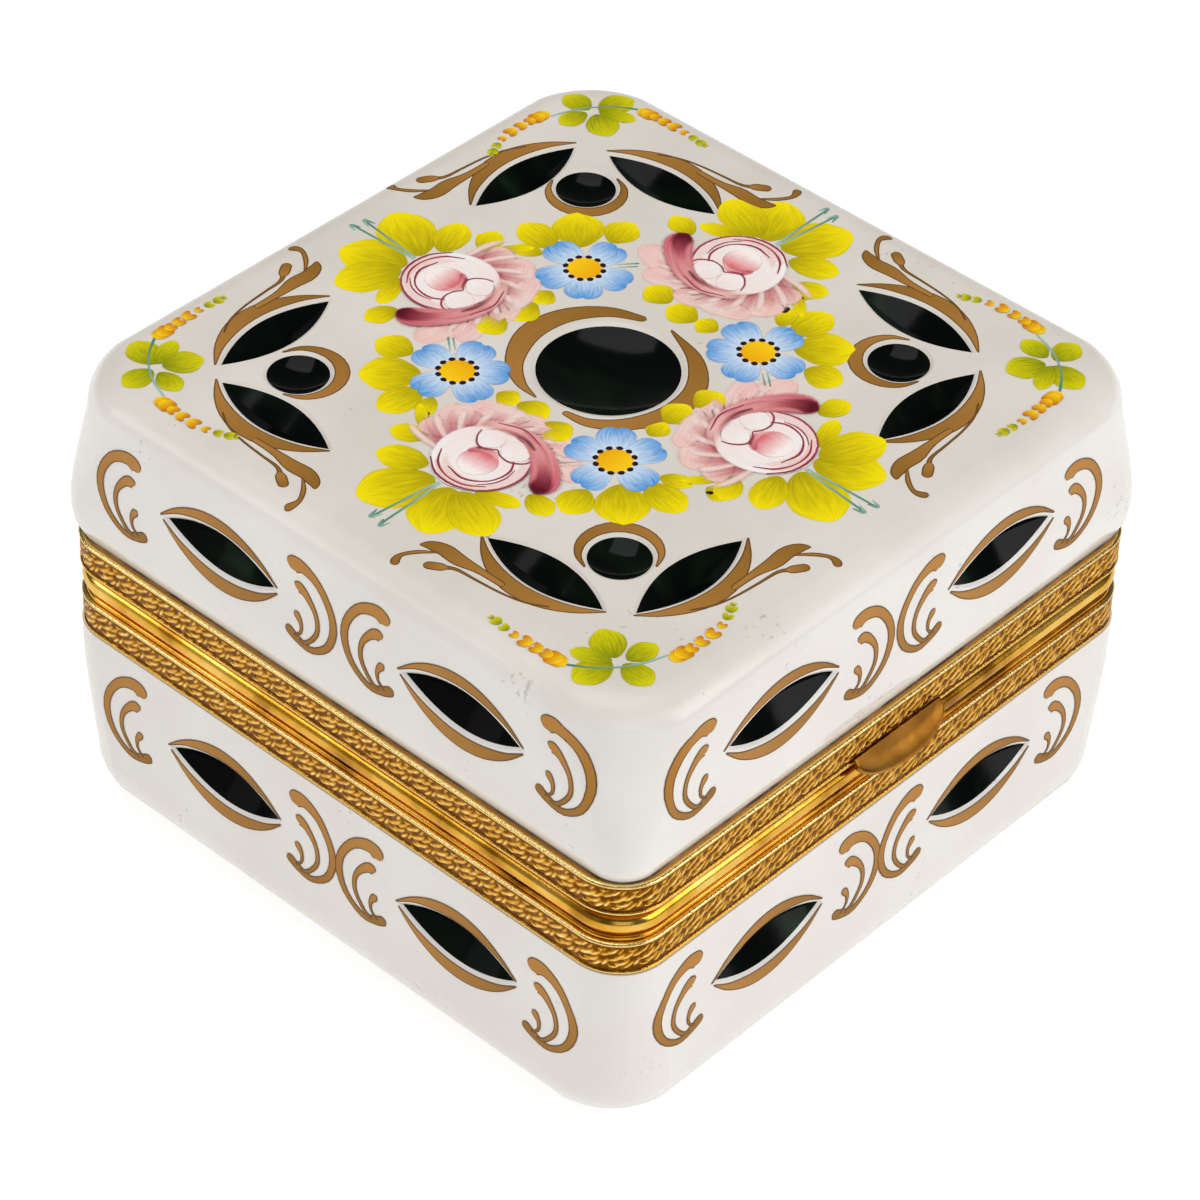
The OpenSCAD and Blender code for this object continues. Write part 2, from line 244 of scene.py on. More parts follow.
def pigment(name, pale, deep, cover=1.0, soft=0.25, fade=0.0, toward=0.6, metal=0.0, gloss=0.35, shine=0.2,
            border=None):
    """Soft is the width of the thin edge in mm; toward says how much the colour deepens along the stroke."""
    mat, paint = finish_of(name, {
        "Metallic": metal, "Roughness": gloss, "IOR": 1.5, "Specular IOR Level": shine})
    attribute = add(mat, "Attribute", {"attribute_name": "flow"}).outputs["Vector"]
    way, across, margin = add(mat, "SeparateXYZ", links={0: attribute}).outputs
    along = add(mat, "Math", {"operation": "FRACT"}, {0: way})
    run = add(mat, "Math", {"operation": "MULTIPLY"}, {0: way, 1: 1.7})
    width = add(mat, "Math", {"operation": "MULTIPLY"}, {0: across, 1: 9.0})
    hair = add(mat, "CombineXYZ", links={0: run, 1: width})
    bristle = add(mat, "TexNoise", links={"Vector": hair, "Scale": 1.6, "Detail": 3.0})
    load = add(mat, "MixRGB", links={0: toward, 1: bristle, 2: along})
    colour = add(mat, "ValToRGB", {"stops": [(0.28, pale), (0.78, deep)]}, {0: load})
    inside = add(mat, "Math", {"operation": "MULTIPLY_ADD"}, {0: bristle, 1: soft, 2: margin})
    if border:
        plain = add(mat, "MapRange", SMOOTH, {"Value": margin, "From Min": 0.04, "From Max": 0.34})
        colour = add(mat, "MixRGB", links={0: plain, 1: tint(border), 2: colour})
    if soft:
        cut = add(mat, "MapRange", SMOOTH,
                  {"Value": inside, "From Min": soft * 0.45, "From Max": soft * 1.35, "To Max": cover})
        if fade:
            tail = add(mat, "MapRange", SMOOTH, {"Value": along, "From Min": 0.0, "From Max": fade})
            cut = add(mat, "Math", {"operation": "MULTIPLY"}, {0: cut, 1: tail})
        fill(mat, paint, {"Alpha": cut})
    raised = add(mat, "Bump", links={"Strength": 0.25, "Distance": 0.0001, "Height": bristle})
    fill(mat, paint, {"Base Color": colour, "Normal": raised})
    return mat


# Gold is matt with a brown border; leaf, moss and ochre are thick and flat; blush, veil and rose
# are washes that let the white show; wine, plum and umber draw; cream lightens the petals.
PIGMENTS = {
    "gold": pigment("fired_liquid_gold", "#BC8540", "#9C6E2C", soft=0, metal=0.25, gloss=0.45, shine=0.1,
                    border="#62401E"),
    "leaf": pigment("yellow_green_enamel", "#B4A408", "#FFE80A", soft=0.22, toward=0.5, shine=0.06),
    "moss": pigment("moss_green_enamel", "#868E0C", "#E2D810", soft=0.2, toward=0.45, shine=0.06),
    "blush": pigment("pale_rose_enamel", "#FFF4EE", "#FFC2B6", cover=0.85, soft=0.9, fade=0.35, toward=0.3),
    "veil": pigment("rose_veil_enamel", "#FFD0C6", "#DC5C6C", cover=0.55, soft=0.8, fade=0.7, toward=0.75),
    "rose": pigment("deep_rose_enamel", "#FFCCC2", "#D25468", cover=0.92, soft=0.9, fade=0.25, toward=0.6),
    "bud": pigment("bud_rose_enamel", "#FFF2EC", "#E2606C", soft=0.5, toward=0.75),
    "cream": pigment("white_enamel", "#FFFAF6", "#FCE4DE", cover=0.95, soft=0.6, toward=0.3),
    "wine": pigment("wine_line_enamel", "#B4485C", "#7A1E36", cover=0.95, soft=0.08, toward=0.3),
    "plum": pigment("plum_tip_enamel", "#CC5066", "#600E20", cover=0.96, soft=1.1, fade=0.95, toward=0.75),
    "blue": pigment("forget_me_not_enamel", "#DEECF6", "#3490DA", soft=0.3, toward=0.5),
    "yolk": pigment("yolk_yellow_enamel", "#FFCC14", "#F2AC06", soft=0.12, shine=0.08),
    "umber": pigment("umber_dot_enamel", "#3A1A10", "#1C0C06", soft=0.06),
    "teal": pigment("teal_stem_enamel", "#A6CDBF", "#2F7F68", cover=0.9, soft=0.15, toward=0.5),
    "ochre": pigment("ochre_catkin_enamel", "#FFD21C", "#C65E04", soft=0.2, toward=0.5, shine=0.08),
}
print("pigments:", ", ".join(PIGMENTS))

# %% [markdown]
# ## The glass bodies
# Moulded glass has no sharp edge: the corners swell upward on the lid and
# downward on the base. Each body is a loft: one ring of points, extruded up and
# reshaped at every level. A slight swell at the corners makes the soft crease
# where the flat ground panel of a side meets the rounded corner.

# %% Outlines and lofts
CORNER_STEPS, SIDE_STEPS = 14, 6


def outline(half, radius, swell=0.0):
    """Points round a square with round corners; swell lets the corner bulge past the flat."""
    points, centre = [], half + swell - radius
    start = math.acos((radius - swell) / radius)
    for quarter in range(4):
        c, s = math.cos(quarter * math.pi / 2), math.sin(quarter * math.pi / 2)
        corner = []
        for i in range(CORNER_STEPS + 1):
            a = start + (math.pi / 2 - 2 * start) * i / CORNER_STEPS
            corner.append((centre + radius * math.cos(a), centre + radius * math.sin(a)))
        for i in range(1, SIDE_STEPS):
            x = corner[CORNER_STEPS][0] * (1 - 2 * i / SIDE_STEPS)
            corner.append((x, half))
        points += [(x * c - y * s, x * s + y * c) for x, y in corner]
    return points


def loft(rings, closed=False):
    """Extrudes one ring through (z, half, radius, swell) rows; caps the ends or joins them."""
    bm = bmesh.new()
    place_at = bm.verts.layers.int.new("at")
    for row, (z, half, radius, swell) in enumerate(rings + rings[:1] if closed else rings):
        shape = outline(half, radius, swell)
        if row == 0:
            verts = bmesh.ops.create_circle(bm, segments=len(shape), radius=1)["verts"]
            edges = bm.edges[:]
            for i, v in enumerate(verts):
                v[place_at] = i
        else:
            out = bmesh.ops.extrude_edge_only(bm, edges=edges)["geom"]
            edges = [g for g in out if isinstance(g, bmesh.types.BMEdge)]
            verts = [g for g in out if isinstance(g, bmesh.types.BMVert)]
        for v in verts:
            v.co = Vector((*shape[v[place_at]], z)) * MM
    if closed:
        bmesh.ops.remove_doubles(bm, verts=bm.verts, dist=1e-7)
    else:
        bmesh.ops.holes_fill(bm, edges=[e for e in bm.edges if len(e.link_faces) == 1], sides=0)
    bmesh.ops.recalc_face_normals(bm, faces=bm.faces)
    return bm


print("points round one ring:", len(outline(65, 10)))

# %% The walls of lid and base
TOP, TOP_EDGE, LID_HALF = 90.3, 6.0, 65.1  # mm: height, edge radius and half width of the lid glass
FOOT_EDGE, BASE_HALF = 10.5, 65.5
LID_WALL = [  # height, half width, corner radius, swell of the corner; mm
    (57.4, 63.4, 6.4, 0.0), (58.4, 63.85, 6.5, 0.05), (60.4, 64.53, 6.9, 0.1), (63.0, 64.9, 7.5, 0.15),
    (66.4, LID_HALF, 8.6, 0.2), (70, LID_HALF, 10.1, 0.2288), (74, LID_HALF, 12.2, 0.2608),
    (78, LID_HALF, 14.5, 0.2928), (82, LID_HALF, 16.9, 0.3248)]
BASE_WALL = [
    (38.1, 65.1, 9.5, 0.0), (34, 65.3, 10.4, 0.05), (29.2, BASE_HALF, 11.5, 0.1),
    (24, BASE_HALF, 12.54, 0.15), (19, BASE_HALF, 13.54, 0.15), (14, BASE_HALF, 14.54, 0.15)]


def wall_rings(wall, t):
    """Rows of a wall, t inside the outside."""
    return [(z, half - t, radius - t, swell) for z, half, radius, swell in wall]


def lid_rings(t):
    """Lid surface, t inside the outside, from the ledge up; ends on the flat top."""
    rows = wall_rings(LID_WALL, t)
    for i in range(9):
        a = math.radians(10 * i + 10)
        inset = max(TOP_EDGE - TOP_EDGE * math.cos(a) - 0.09, 0)  # 0.09 lines the first ring up with the wall
        z = TOP - TOP_EDGE + TOP_EDGE * math.sin(a)
        rows.append((z - t, LID_HALF - t - inset, max(17.9 - t - inset, 3), 0.35 * math.cos(a)))
    return rows


def base_rings(t):
    """Base surface from under the collar down to the flat of the foot."""
    rows = wall_rings(BASE_WALL, t)
    for i in range(11):
        a = math.radians(9 * i)
        inset = (FOOT_EDGE - t) * (1 - math.cos(a))
        z = FOOT_EDGE - (FOOT_EDGE - t) * math.sin(a)
        rows.append((z, BASE_HALF - t - inset, max(15.5 - t - inset, 5), 0.2 * math.cos(a)))
    return rows


print("lid rows:", len(lid_rings(0)), "base rows:", len(base_rings(0)))

# %% Mesh objects from a bmesh
def soften(bm, sharp, flat=True):
    """Smooth shading up to an angle in degrees; flat leaves level faces flat."""
    for edge in bm.edges:
        edge.smooth = len(edge.link_faces) == 2 and edge.calc_face_angle(0) < math.radians(sharp)
    for face in bm.faces:
        face.smooth = not (flat and max(abs(c) for c in face.normal) > 0.99999)


def finish_piece(bm, name, body, *materials, sharp=25, flat=False):
    """Outward normals, sharp edges marked, one object at the origin that rides on its body."""
    bmesh.ops.recalc_face_normals(bm, faces=bm.faces)
    soften(bm, sharp, flat)
    mesh = bpy.data.meshes.new(name)
    bm.to_mesh(mesh)
    bm.free()
    piece = bpy.data.objects.new(name, mesh)
    for mat in materials:
        mesh.materials.append(mat)
    bpy.context.scene.collection.objects.link(piece)
    if body:
        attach(piece, body)
    return piece


# %% White casings and dark cores, before cutting
# Each wall is one loft that runs down the outside and back up the inside. The
# neck of each glass is narrower, so that it stands inside its collar.
SKIN = 0.4  # mm, the white glass
FOOT = (52.0, 6.0, 0.0)  # the flat ground foot: half width, corner radius, swell
CAVITY = 60.3  # half width of the hollow


def hollow(mouth, end, deep):
    """Rows of the hollow inside, from its mouth to its flat end."""
    way = 1 if end > mouth else -1
    rows = [(mouth, CAVITY, 7.0, 0.0), (end - way * deep, CAVITY, 8.0, 0.0)]
    for i in range(1, 7):
        a = math.radians(15 * i)
        inset = deep * (1 - math.cos(a))
        rows.append((end - way * deep * (1 - math.sin(a)), CAVITY - inset, max(10 - inset, 4), 0.0))
    return rows


lid_skin = loft(lid_rings(0)[::-1] + lid_rings(SKIN))
base_skin = loft([(0, *FOOT)] + base_rings(0)[::-1] + base_rings(SKIN) + [(SKIN, *FOOT)], closed=True)
lid_neck = [(54.3, 62.4, 6.9, 0.0), (57.4, 62.4, 6.9, 0.0)]
lid_core = loft((lid_neck + lid_rings(SKIN))[::-1] + hollow(54.3, 85.5, 3.0))
base_neck = [(43.3, 62.9, 7.4, 0.0), (38.1, 62.9, 7.4, 0.0)]
base_core = loft([(0, *FOOT), (SKIN, *FOOT)] + base_rings(SKIN)[::-1] + base_neck[::-1]
                 + hollow(43.3, 5.6, 6.0))
lid_surface = BVHTree.FromBMesh(lid_skin)
base_surface = BVHTree.FromBMesh(base_skin)
for label, bm in (("lid skin", lid_skin), ("base skin", base_skin),
                  ("lid core", lid_core), ("base core", base_core)):
    print(label, "faces", len(bm.faces), "cm3", round(bm.calc_volume(signed=True) * 1e6, 1))

# %% [markdown]
# ## The wheel cuts
# A cutter presses the glass on a turning wheel. A wheel with a V-shaped edge
# leaves a pointed leaf with a ridge-like valley down its middle, and a rounded
# wheel leaves a shallow bowl. Here each wheel is really modelled: a profile spun
# round its axle, then taken away from white skin and dark core together, so the
# white edge of the skin shows as the thin bright line round every window.

# %% Wheel profiles spun round their axles
LEAF = {"half_len": 12.6, "half_wide": 3.9, "deep": 3.0}  # mm, as seen in the dark core
SPOT_BOWL, CENTRE_BOWL = (5.2, 1.9), (12.0, 3.0)  # mm: radius in the core, depth
CLEAR = 1.2  # mm that a round wheel stands out of the glass


def spun_wheel(points, closed, centre, axis, start, angle, steps):
    """A profile in mm spun round an axle; its open ends are filled."""
    bm = bmesh.new()
    verts = [bm.verts.new(Vector(p) * MM) for p in points]
    pairs = len(verts) if closed else len(verts) - 1
    edges = [bm.edges.new((verts[i], verts[(i + 1) % len(verts)])) for i in range(pairs)]
    centre = Vector(centre) * MM
    bmesh.ops.rotate(bm, cent=centre, matrix=Matrix.Rotation(start, 3, axis), verts=verts)
    bmesh.ops.spin(bm, geom=verts + edges, cent=centre, axis=axis, angle=angle, steps=steps,
                   use_merge=angle > 6)
    bmesh.ops.remove_doubles(bm, verts=bm.verts, dist=1e-7)
    bmesh.ops.holes_fill(bm, edges=[e for e in bm.edges if len(e.link_faces) == 1], sides=0)
    bmesh.ops.recalc_face_normals(bm, faces=bm.faces)
    mesh = bpy.data.meshes.new("wheel")
    bm.to_mesh(mesh)
    bm.free()
    return mesh


def mitre_wheel():
    """V-edged wheel: only the arc of its rim that reaches the glass."""
    deep = LEAF["deep"]
    core_deep = deep - SKIN
    wheel = LEAF["half_len"] ** 2 / 2 / core_deep
    flank = LEAF["half_wide"] / core_deep * 2 * deep
    return spun_wheel([(0, -flank, deep), (0, 0, -deep), (0, flank, deep)], True, (0, 0, wheel - deep),
                      Vector((0, 1, 0)), -math.radians(36), math.radians(72), 44)


def bowl_wheel(radius, deep):
    """Rounded wheel: the cap of a ball that leaves a hollow of this radius in the core."""
    core_deep = deep - SKIN
    ball = (radius ** 2 + core_deep ** 2) / 2 / core_deep
    reach = math.acos((ball - deep - CLEAR) / ball)
    turns = [reach * i / 18 for i in range(19)]
    arc = [(ball * math.sin(a), 0, ball - deep - ball * math.cos(a)) for a in turns]
    return spun_wheel(arc, False, (0, 0, 0), Vector((0, 0, 1)), 0, 2 * math.pi, 72)


def facing(x_axis, y_axis, origin):
    """A frame: its X along the cut, its Y across it, its Z out of the glass; origin in mm."""
    x_axis, y_axis = Vector(x_axis), Vector(y_axis)
    matrix = Matrix((x_axis, y_axis, x_axis.cross(y_axis))).transposed().to_4x4()
    matrix.translation = Vector(origin) * MM
    return matrix


# %% Where the windows are
# Places of the windows' middles in mm, a little off the even grid, as a hand sets them.
LEAVES_ALONG = [(-31.4, 45.8), (30.1, 47.4), (-29.6, -44.6), (29.5, -43.3)]
LEAVES_ACROSS = [(-46.8, 30.0), (45.0, 29.1), (-44.9, -28.1), (46.0, -27.0)]
SPOTS = [(-36.6, 35.1), (34.7, 37.4), (-34.0, -33.9), (35.3, -32.5)]
ROW_Z = {"lid": 75.2, "base": 25.1}
SIDES = {  # along, outward, offset of the pair towards the near corner
    "front": ((1, 0, 0), (0, -1, 0), -2.8),
    "right": ((0, 1, 0), (1, 0, 0), 0.0),
    "back": ((-1, 0, 0), (0, 1, 0), 0.0),
    "left": ((0, -1, 0), (-1, 0, 0), 2.8),
}


def side_windows(side):
    """Middles of a side's two windows, along the side."""
    shift = SIDES[side][2]
    return [27 + shift, -27 + shift]


def side_frame(side, u, z, half):
    """The frame of a cut on a side, half a width out from the middle."""
    along, out, _ = SIDES[side]
    origin = Vector(along) * u + Vector(out) * half + Vector((0, 0, z))
    return facing(along, (0, 0, 1), origin)


print("windows on the lid top:", len(LEAVES_ALONG + LEAVES_ACROSS + SPOTS) + 1,
      "and at the sides:", sum(len(side_windows(side)) for side in SIDES) * len(ROW_Z))

# %% Cut the windows
CUT_DEPTH_FROM = {"lid": 65.1, "base": 65.35}  # mm, half width of the glass under the wheel
CUT_EDGE = 22  # degrees, past which an edge of the cut glass stays crisp


def cut_body(bm, cutters, name, body, node, mat):
    """Takes the wheels away from a body, cleans the cut mesh and puts it in place of its CAD node."""
    piece = finish_piece(bm, name, body, mat, sharp=CUT_EDGE, flat=True)
    tool = bpy.data.objects.new("wheel", cutters)
    bpy.context.scene.collection.objects.link(tool)
    bite = piece.modifiers.new("wheel cuts", "BOOLEAN")
    bite.operation, bite.solver, bite.object = "DIFFERENCE", "EXACT", tool
    bpy.context.view_layer.update()
    cut = bpy.data.meshes.new_from_object(piece.evaluated_get(bpy.context.evaluated_depsgraph_get()))
    piece.modifiers.clear()
    piece.data = cut
    bpy.data.objects.remove(tool)
    again = bmesh.new()
    again.from_mesh(cut)
    bmesh.ops.remove_doubles(again, verts=again.verts, dist=2e-6)
    bmesh.ops.dissolve_degenerate(again, edges=again.edges, dist=2e-6)
    soften(again, CUT_EDGE)
    loose = sum(1 for e in again.edges if len(e.link_faces) != 2)
    again.to_mesh(cut)
    again.free()
    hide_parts(node)
    print(name, "faces", len(cut.polygons), "open edges", loose)
    return piece


def press(bm, wheel, matrix):
    """Adds one wheel to the set of cutters, at its window."""
    before = len(bm.verts)
    bm.from_mesh(wheel)
    bm.verts.ensure_lookup_table()
    bmesh.ops.transform(bm, matrix=matrix, verts=bm.verts[before:])


def cutter_mesh(kind):
    """All wheels of the lid or the base in one mesh."""
    bm = bmesh.new()
    leaf = mitre_wheel()
    for side in SIDES:
        for u in side_windows(side):
            press(bm, leaf, side_frame(side, u, ROW_Z[kind], CUT_DEPTH_FROM[kind]))
    if kind == "lid":
        for x, y in LEAVES_ALONG:
            press(bm, leaf, facing((1, 0, 0), (0, 1, 0), (x, y, TOP)))
        for x, y in LEAVES_ACROSS:
            press(bm, leaf, facing((0, 1, 0), (-1, 0, 0), (x, y, TOP)))
        for x, y in SPOTS:
            press(bm, bowl_wheel(*SPOT_BOWL), facing((1, 0, 0), (0, 1, 0), (x, y, TOP)))
        press(bm, bowl_wheel(*CENTRE_BOWL), facing((1, 0, 0), (0, 1, 0), (0, 0, TOP)))
    bmesh.ops.recalc_face_normals(bm, faces=bm.faces)
    mesh = bpy.data.meshes.new("wheels_" + kind)
    bm.to_mesh(mesh)
    bm.free()
    print("cutters for the", kind, "have", len(mesh.polygons), "faces")
    return mesh


lid_wheels, base_wheels = cutter_mesh("lid"), cutter_mesh("base")
lid_white = cut_body(lid_skin, lid_wheels, "lid_white_casing", "lid", "lid_casing", white)
lid_dark = cut_body(lid_core, lid_wheels, "lid_dark_core", "lid", "lid_glass", dark)
base_white = cut_body(base_skin, base_wheels, "base_white_casing", "base", "base_casing", white)
base_dark = cut_body(base_core, base_wheels, "base_dark_core", "base", "base_glass", dark)

# %% [markdown]
# ## The brass collars
# A silversmith rolls a leaf pattern into a brass strip, bends the strip round the
# glass and sharpens the leaves with a chasing tool. One grid is bent round the
# box for each collar: its columns run round the box, its rows follow the section,
# and every point has a height that sinks the ground between the leaves. Stamping
# the pattern into a flat texture would lose the glints on the leaf edges.

# %% A rail round the box and a ring bent along it
BAND_HALF, BAND_CORNER = 65.0, 9.5  # mm, half width and corner radius of the collars


def rail(half, radius):
    """The way round a rounded square: its length, and point and outward normal along it."""
    flat, bend = 2 * (half - radius), math.pi / 2 * radius

    def spot_on(s):
        quarter, s = divmod(s % (4 * (flat + bend)), flat + bend)
        if s < flat:
            point, normal = Vector((s - flat / 2, -half)), Vector((0, -1))
        else:
            a = (s - flat) / radius - math.pi / 2
            normal = Vector((math.cos(a), math.sin(a)))
            point = Vector((half - radius, radius - half)) + normal * radius
        turn_by = Matrix.Rotation(quarter * math.pi / 2, 2)
        return turn_by @ point, turn_by @ normal
    return 4 * (flat + bend), spot_on


def bent_ring(rows, columns, place):
    """A grid wrapped both ways into a closed ring; place gives each point and its relief."""
    bm = bmesh.new()
    relief = bm.verts.layers.float.new("relief")
    bmesh.ops.create_grid(bm, x_segments=columns, y_segments=len(rows), size=1)
    for v in bm.verts:
        i = round((v.co.x + 1) / 2 * columns) % columns
        j = round((v.co.y + 1) / 2 * len(rows)) % len(rows)
        point, height = place(i, rows[j])
        v.co, v[relief] = Vector(point) * MM, height
    bmesh.ops.remove_doubles(bm, verts=bm.verts, dist=1e-7)
    return bm


print("each collar runs", round(rail(BAND_HALF, BAND_CORNER)[0], 1), "mm round the box")

# %% The chased leaf pattern
REPEATS, STEPS = 96, 24  # patterns round the box, grid columns in one pattern
GROUND = 0.08  # relief of the punched ground, where a crown is 1
LEAVES = [  # along, across, turn in degrees, curl, half length, half width, height; mm
    (-0.2, 0.1, 30, 0.12, 1.7, 0.50, 1.0), (0.7, -0.95, 20, 0.20, 1.5, 0.45, 1.0),
    (1.5, 0.55, 36, 0.10, 1.3, 0.42, 1.0), (-1.9, 0.95, 28, 0.15, 1.3, 0.42, 1.0),
    (-0.8, 1.5, 42, 0.10, 1.1, 0.36, 0.9), (0.4, 1.6, 56, 0.0, 0.8, 0.32, 0.8),
    (1.8, -1.35, 44, 0.10, 1.1, 0.38, 0.9), (-0.6, -1.6, 6, 0.20, 1.2, 0.34, 0.85),
    (-2.2, -0.8, 58, 0.0, 1.0, 0.36, 0.9), (2.4, 1.7, 10, 0.10, 0.8, 0.30, 0.8),
]
heights = {}


def leaf_height(column, across, pitch):
    """0 in the punched ground, 1 on the crown of a leaf; the pattern repeats, so it is kept."""
    key = (column % STEPS, round(across, 3))
    if key not in heights:
        best = GROUND
        s = key[0] * pitch / STEPS - pitch / 2
        for x0, z0, turn_deg, curl, long, wide, high in LEAVES:
            c, n = math.cos(math.radians(turn_deg)), math.sin(math.radians(turn_deg))
            z = across - z0
            for x in (s - x0 - pitch, s - x0, s - x0 + pitch):
                a = x * c + z * n
                b = z * c - x * n - curl * a * a
                left = 1 - (a / long) ** 2
                if left <= 0 or abs(b) >= wide * math.sqrt(left):
                    continue
                share = abs(b) / (wide * math.sqrt(left))
                vein = 0.35 * math.exp(-(b / 0.12) ** 2) * left if wide > 0.4 else 0
                best = max(best, high * left ** 0.3 * (1 - share ** 2) - vein)
        heights[key] = best
    return heights[key]


def chased_band(name, body, node, low, high):
    """Plain bevel and groove above, leaves between, a plain roll below."""
    tall = high - low
    around, spot_on = rail(BAND_HALF, BAND_CORNER)
    columns = REPEATS * STEPS
    # Each row: drop from the upper edge, depth behind the face, polish, which paints shade into the grooves
    # and a highlight onto the bevels. Leaf rows work out the last two.
    rows = [(0, 1.0, 0.4), (0, 0.5, 0.9), (0.14, 0.16, 0.95), (0.42, 0.03, 0.8), (0.6, 0.12, 0.7),
            (0.76, 0.42, 0.0), (0.96, 0.34, 0.1)]
    count = round((tall - 1.9) / 0.2)
    rows += [(1.1 + (tall - 1.9) * i / count, None, 0) for i in range(count + 1)]
    rows += [(tall - 0.66, 0.4, 0.0), (tall - 0.5, 0.14, 0.6), (tall - 0.28, 0.03, 0.9),
             (tall - 0.08, 0.12, 0.8), (tall, 0.4, 0.5), (tall, 1.0, 0.3)]
    points = [spot_on(around * i / columns) for i in range(columns)]

    def place(i, row):
        drop, depth, height = row
        if depth is None:
            point = points[i][0]
            hand = noise.noise(Vector((point.x, point.y, drop)) * 0.8)
            height = min(max(leaf_height(i, tall / 2 - drop, around / REPEATS) + 0.22 * hand, 0), 1)
            depth = 0.05 + 0.36 * (1 - height)
        point, normal = points[i]
        return (*(point - normal * depth), high - drop), height

    band = finish_piece(bent_ring(rows, columns, place), name, body, chased_gilt, sharp=65)
    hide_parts(node)
    print(name, "faces", len(band.data.polygons))


chased_band("lid_chased_band", "lid", "lid_band", 51.0, 57.2)
chased_band("base_chased_band", "base", "base_band", 38.2, 44.7)


# %% Plain strips and the bead
STRIP_EDGE = 35  # degrees, past which a strip's edge stays crisp


def strip(name, body, node, section, mat):
    """A ring round the box from its section: (half width, height) points."""
    bm = loft([(z, half, BAND_CORNER + half - BAND_HALF, 0.0) for half, z in section], closed=True)
    piece = finish_piece(bm, name, body, mat, sharp=STRIP_EDGE)
    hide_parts(node)
    print(name, "faces", len(piece.data.polygons))


def roll(half, z, radius, start, end, steps):
    """Section points on an arc, in degrees from straight out, turning up."""
    turns = [math.radians(start + (end - start) * i / steps) for i in range(steps + 1)]
    return [(half + radius * math.cos(a), z + radius * math.sin(a)) for a in turns]


strip("bead_roll", "base", "base_bead", roll(62.8, 47.8, 1.9, -77, 77, 22) + [(63.2, 47.8)], plain_gilt)
strip("fillet_moulding", "base", "base_fillet_wire",
      [(63.2, 44.72)] + roll(63.7, 45.1, 0.48, -50, 100, 10) + [(63.2, 45.6)], plain_gilt)
strip("riser_strip", "base", "base_riser", [
    (62.4, 44.7), (63.2, 44.7), (63.2, 50.5), (63.1, 50.72), (62.9, 50.8), (60.2, 50.8), (60.2, 50.0),
    (62.4, 50.0)], satin_gilt)
strip("shelf_strip", "base", "base_shelf",
      [(60.2, 43.9), (64.0, 43.9), (64.0, 44.7), (60.2, 44.7)], satin_gilt)

# %% The foot of the lid glass: a dark line of cement and painted shadow on a plain ledge
# The dark line follows the glass, whose corners are tighter than the collar's. It is partly brown cement and
# partly painted shadow in the gap under the lid glass.
GLASS_HALF, GLASS_CORNER = LID_WALL[0][1:3]
section = [(63.1, 57.15), (63.72, 57.15), (63.6, 57.35), (63.45, 57.5), (63.1, 57.5)]
bm = loft([(z, half, GLASS_CORNER + half - GLASS_HALF, 0.0) for half, z in section], closed=True)
cement_line = finish_piece(bm, "cement_line", "lid", cement_and_shade, sharp=STRIP_EDGE)
print("cement line faces", len(cement_line.data.polygons))
strip("ledge_strip", "lid", "lid_ledge",
      [(62.5, 56.4), (64.0, 56.4), (64.0, 57.2), (62.5, 57.2)], satin_gilt)

# %% Thumb piece
# A tongue of thick sheet, oval and slightly cupped so that a thumb finds it.
LEAN = math.radians(52)  # its slope below level
THUMB_HALF, THUMB_REACH, THUMB_THICK = 10.9, 4.95, 0.75  # mm
out_down = Vector((0, -math.cos(LEAN), -math.sin(LEAN)))
out_up = Vector((0, -math.sin(LEAN), math.cos(LEAN)))
bm = bmesh.new()
bmesh.ops.create_grid(bm, x_segments=40, y_segments=12, size=1)
for v in bm.verts:
    u, drop = v.co.x * 0.985, (1 - v.co.y) / 2
    reach = THUMB_REACH * (1 - u * u) ** 0.45
    cup = 0.42 * (1 - u * u) * math.sin(math.pi * min(drop * 1.05, 1)) ** 1.2
    edge = 0.12 * max(0, drop - 0.8) / 0.2
    root = 0.5 * (1 - drop)
    start = Vector((THUMB_HALF * u, -BAND_HALF, 51.5))
    v.co = (start + out_down * (reach * drop - root) + out_up * (0.92 - cup + edge)) * MM
bmesh.ops.recalc_face_normals(bm, faces=bm.faces)
if sum(f.normal.dot(out_up) * f.calc_area() for f in bm.faces) < 0:
    bmesh.ops.reverse_faces(bm, faces=bm.faces)
bmesh.ops.solidify(bm, geom=bm.faces[:] + bm.edges[:] + bm.verts[:], thickness=THUMB_THICK * MM)
rim = [e for e in bm.edges if len(e.link_faces) == 2 and e.calc_face_angle(0) > math.radians(50)]
bmesh.ops.bevel(bm, geom=rim, offset=0.16 * MM, segments=3, profile=0.5, affect="EDGES", material=-1,
                clamp_overlap=True)
thumb = finish_piece(bm, "thumb_tongue", "lid", worn_gilt, sharp=60)
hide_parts("thumb_piece")
print("thumb tongue faces", len(thumb.data.polygons))

# %% Finishes on the solids that keep their shape
KEPT = {"base_lip": satin_gilt, "lid_rim": satin_gilt, "lid_sleeve": satin_gilt,
        "hinge_leaf_base": satin_gilt, "hinge_leaf_lid": satin_gilt, "hinge_pin": plain_gilt,
        "base_bedding": plaster, "lid_bedding": plaster}
for name, mat in KEPT.items():
    for place in bpy.data.objects[name].material_slots:
        place.material = mat
print("finishes on", ", ".join(KEPT))

# %% [markdown]
# ## Painting on glass
# The painter works with a loaded brush: one press and pull makes a petal, a turn
# of the tip makes a scroll. So nothing here is a flat picture. Each stroke is its
# own thin solid, drawn along a few given points with a width at each, laid on
# the glass by looking straight down at it, and stacked above the strokes under it.

# %% The run of a stroke
THINNEST = 0.15  # mm, the finest line a brush leaves


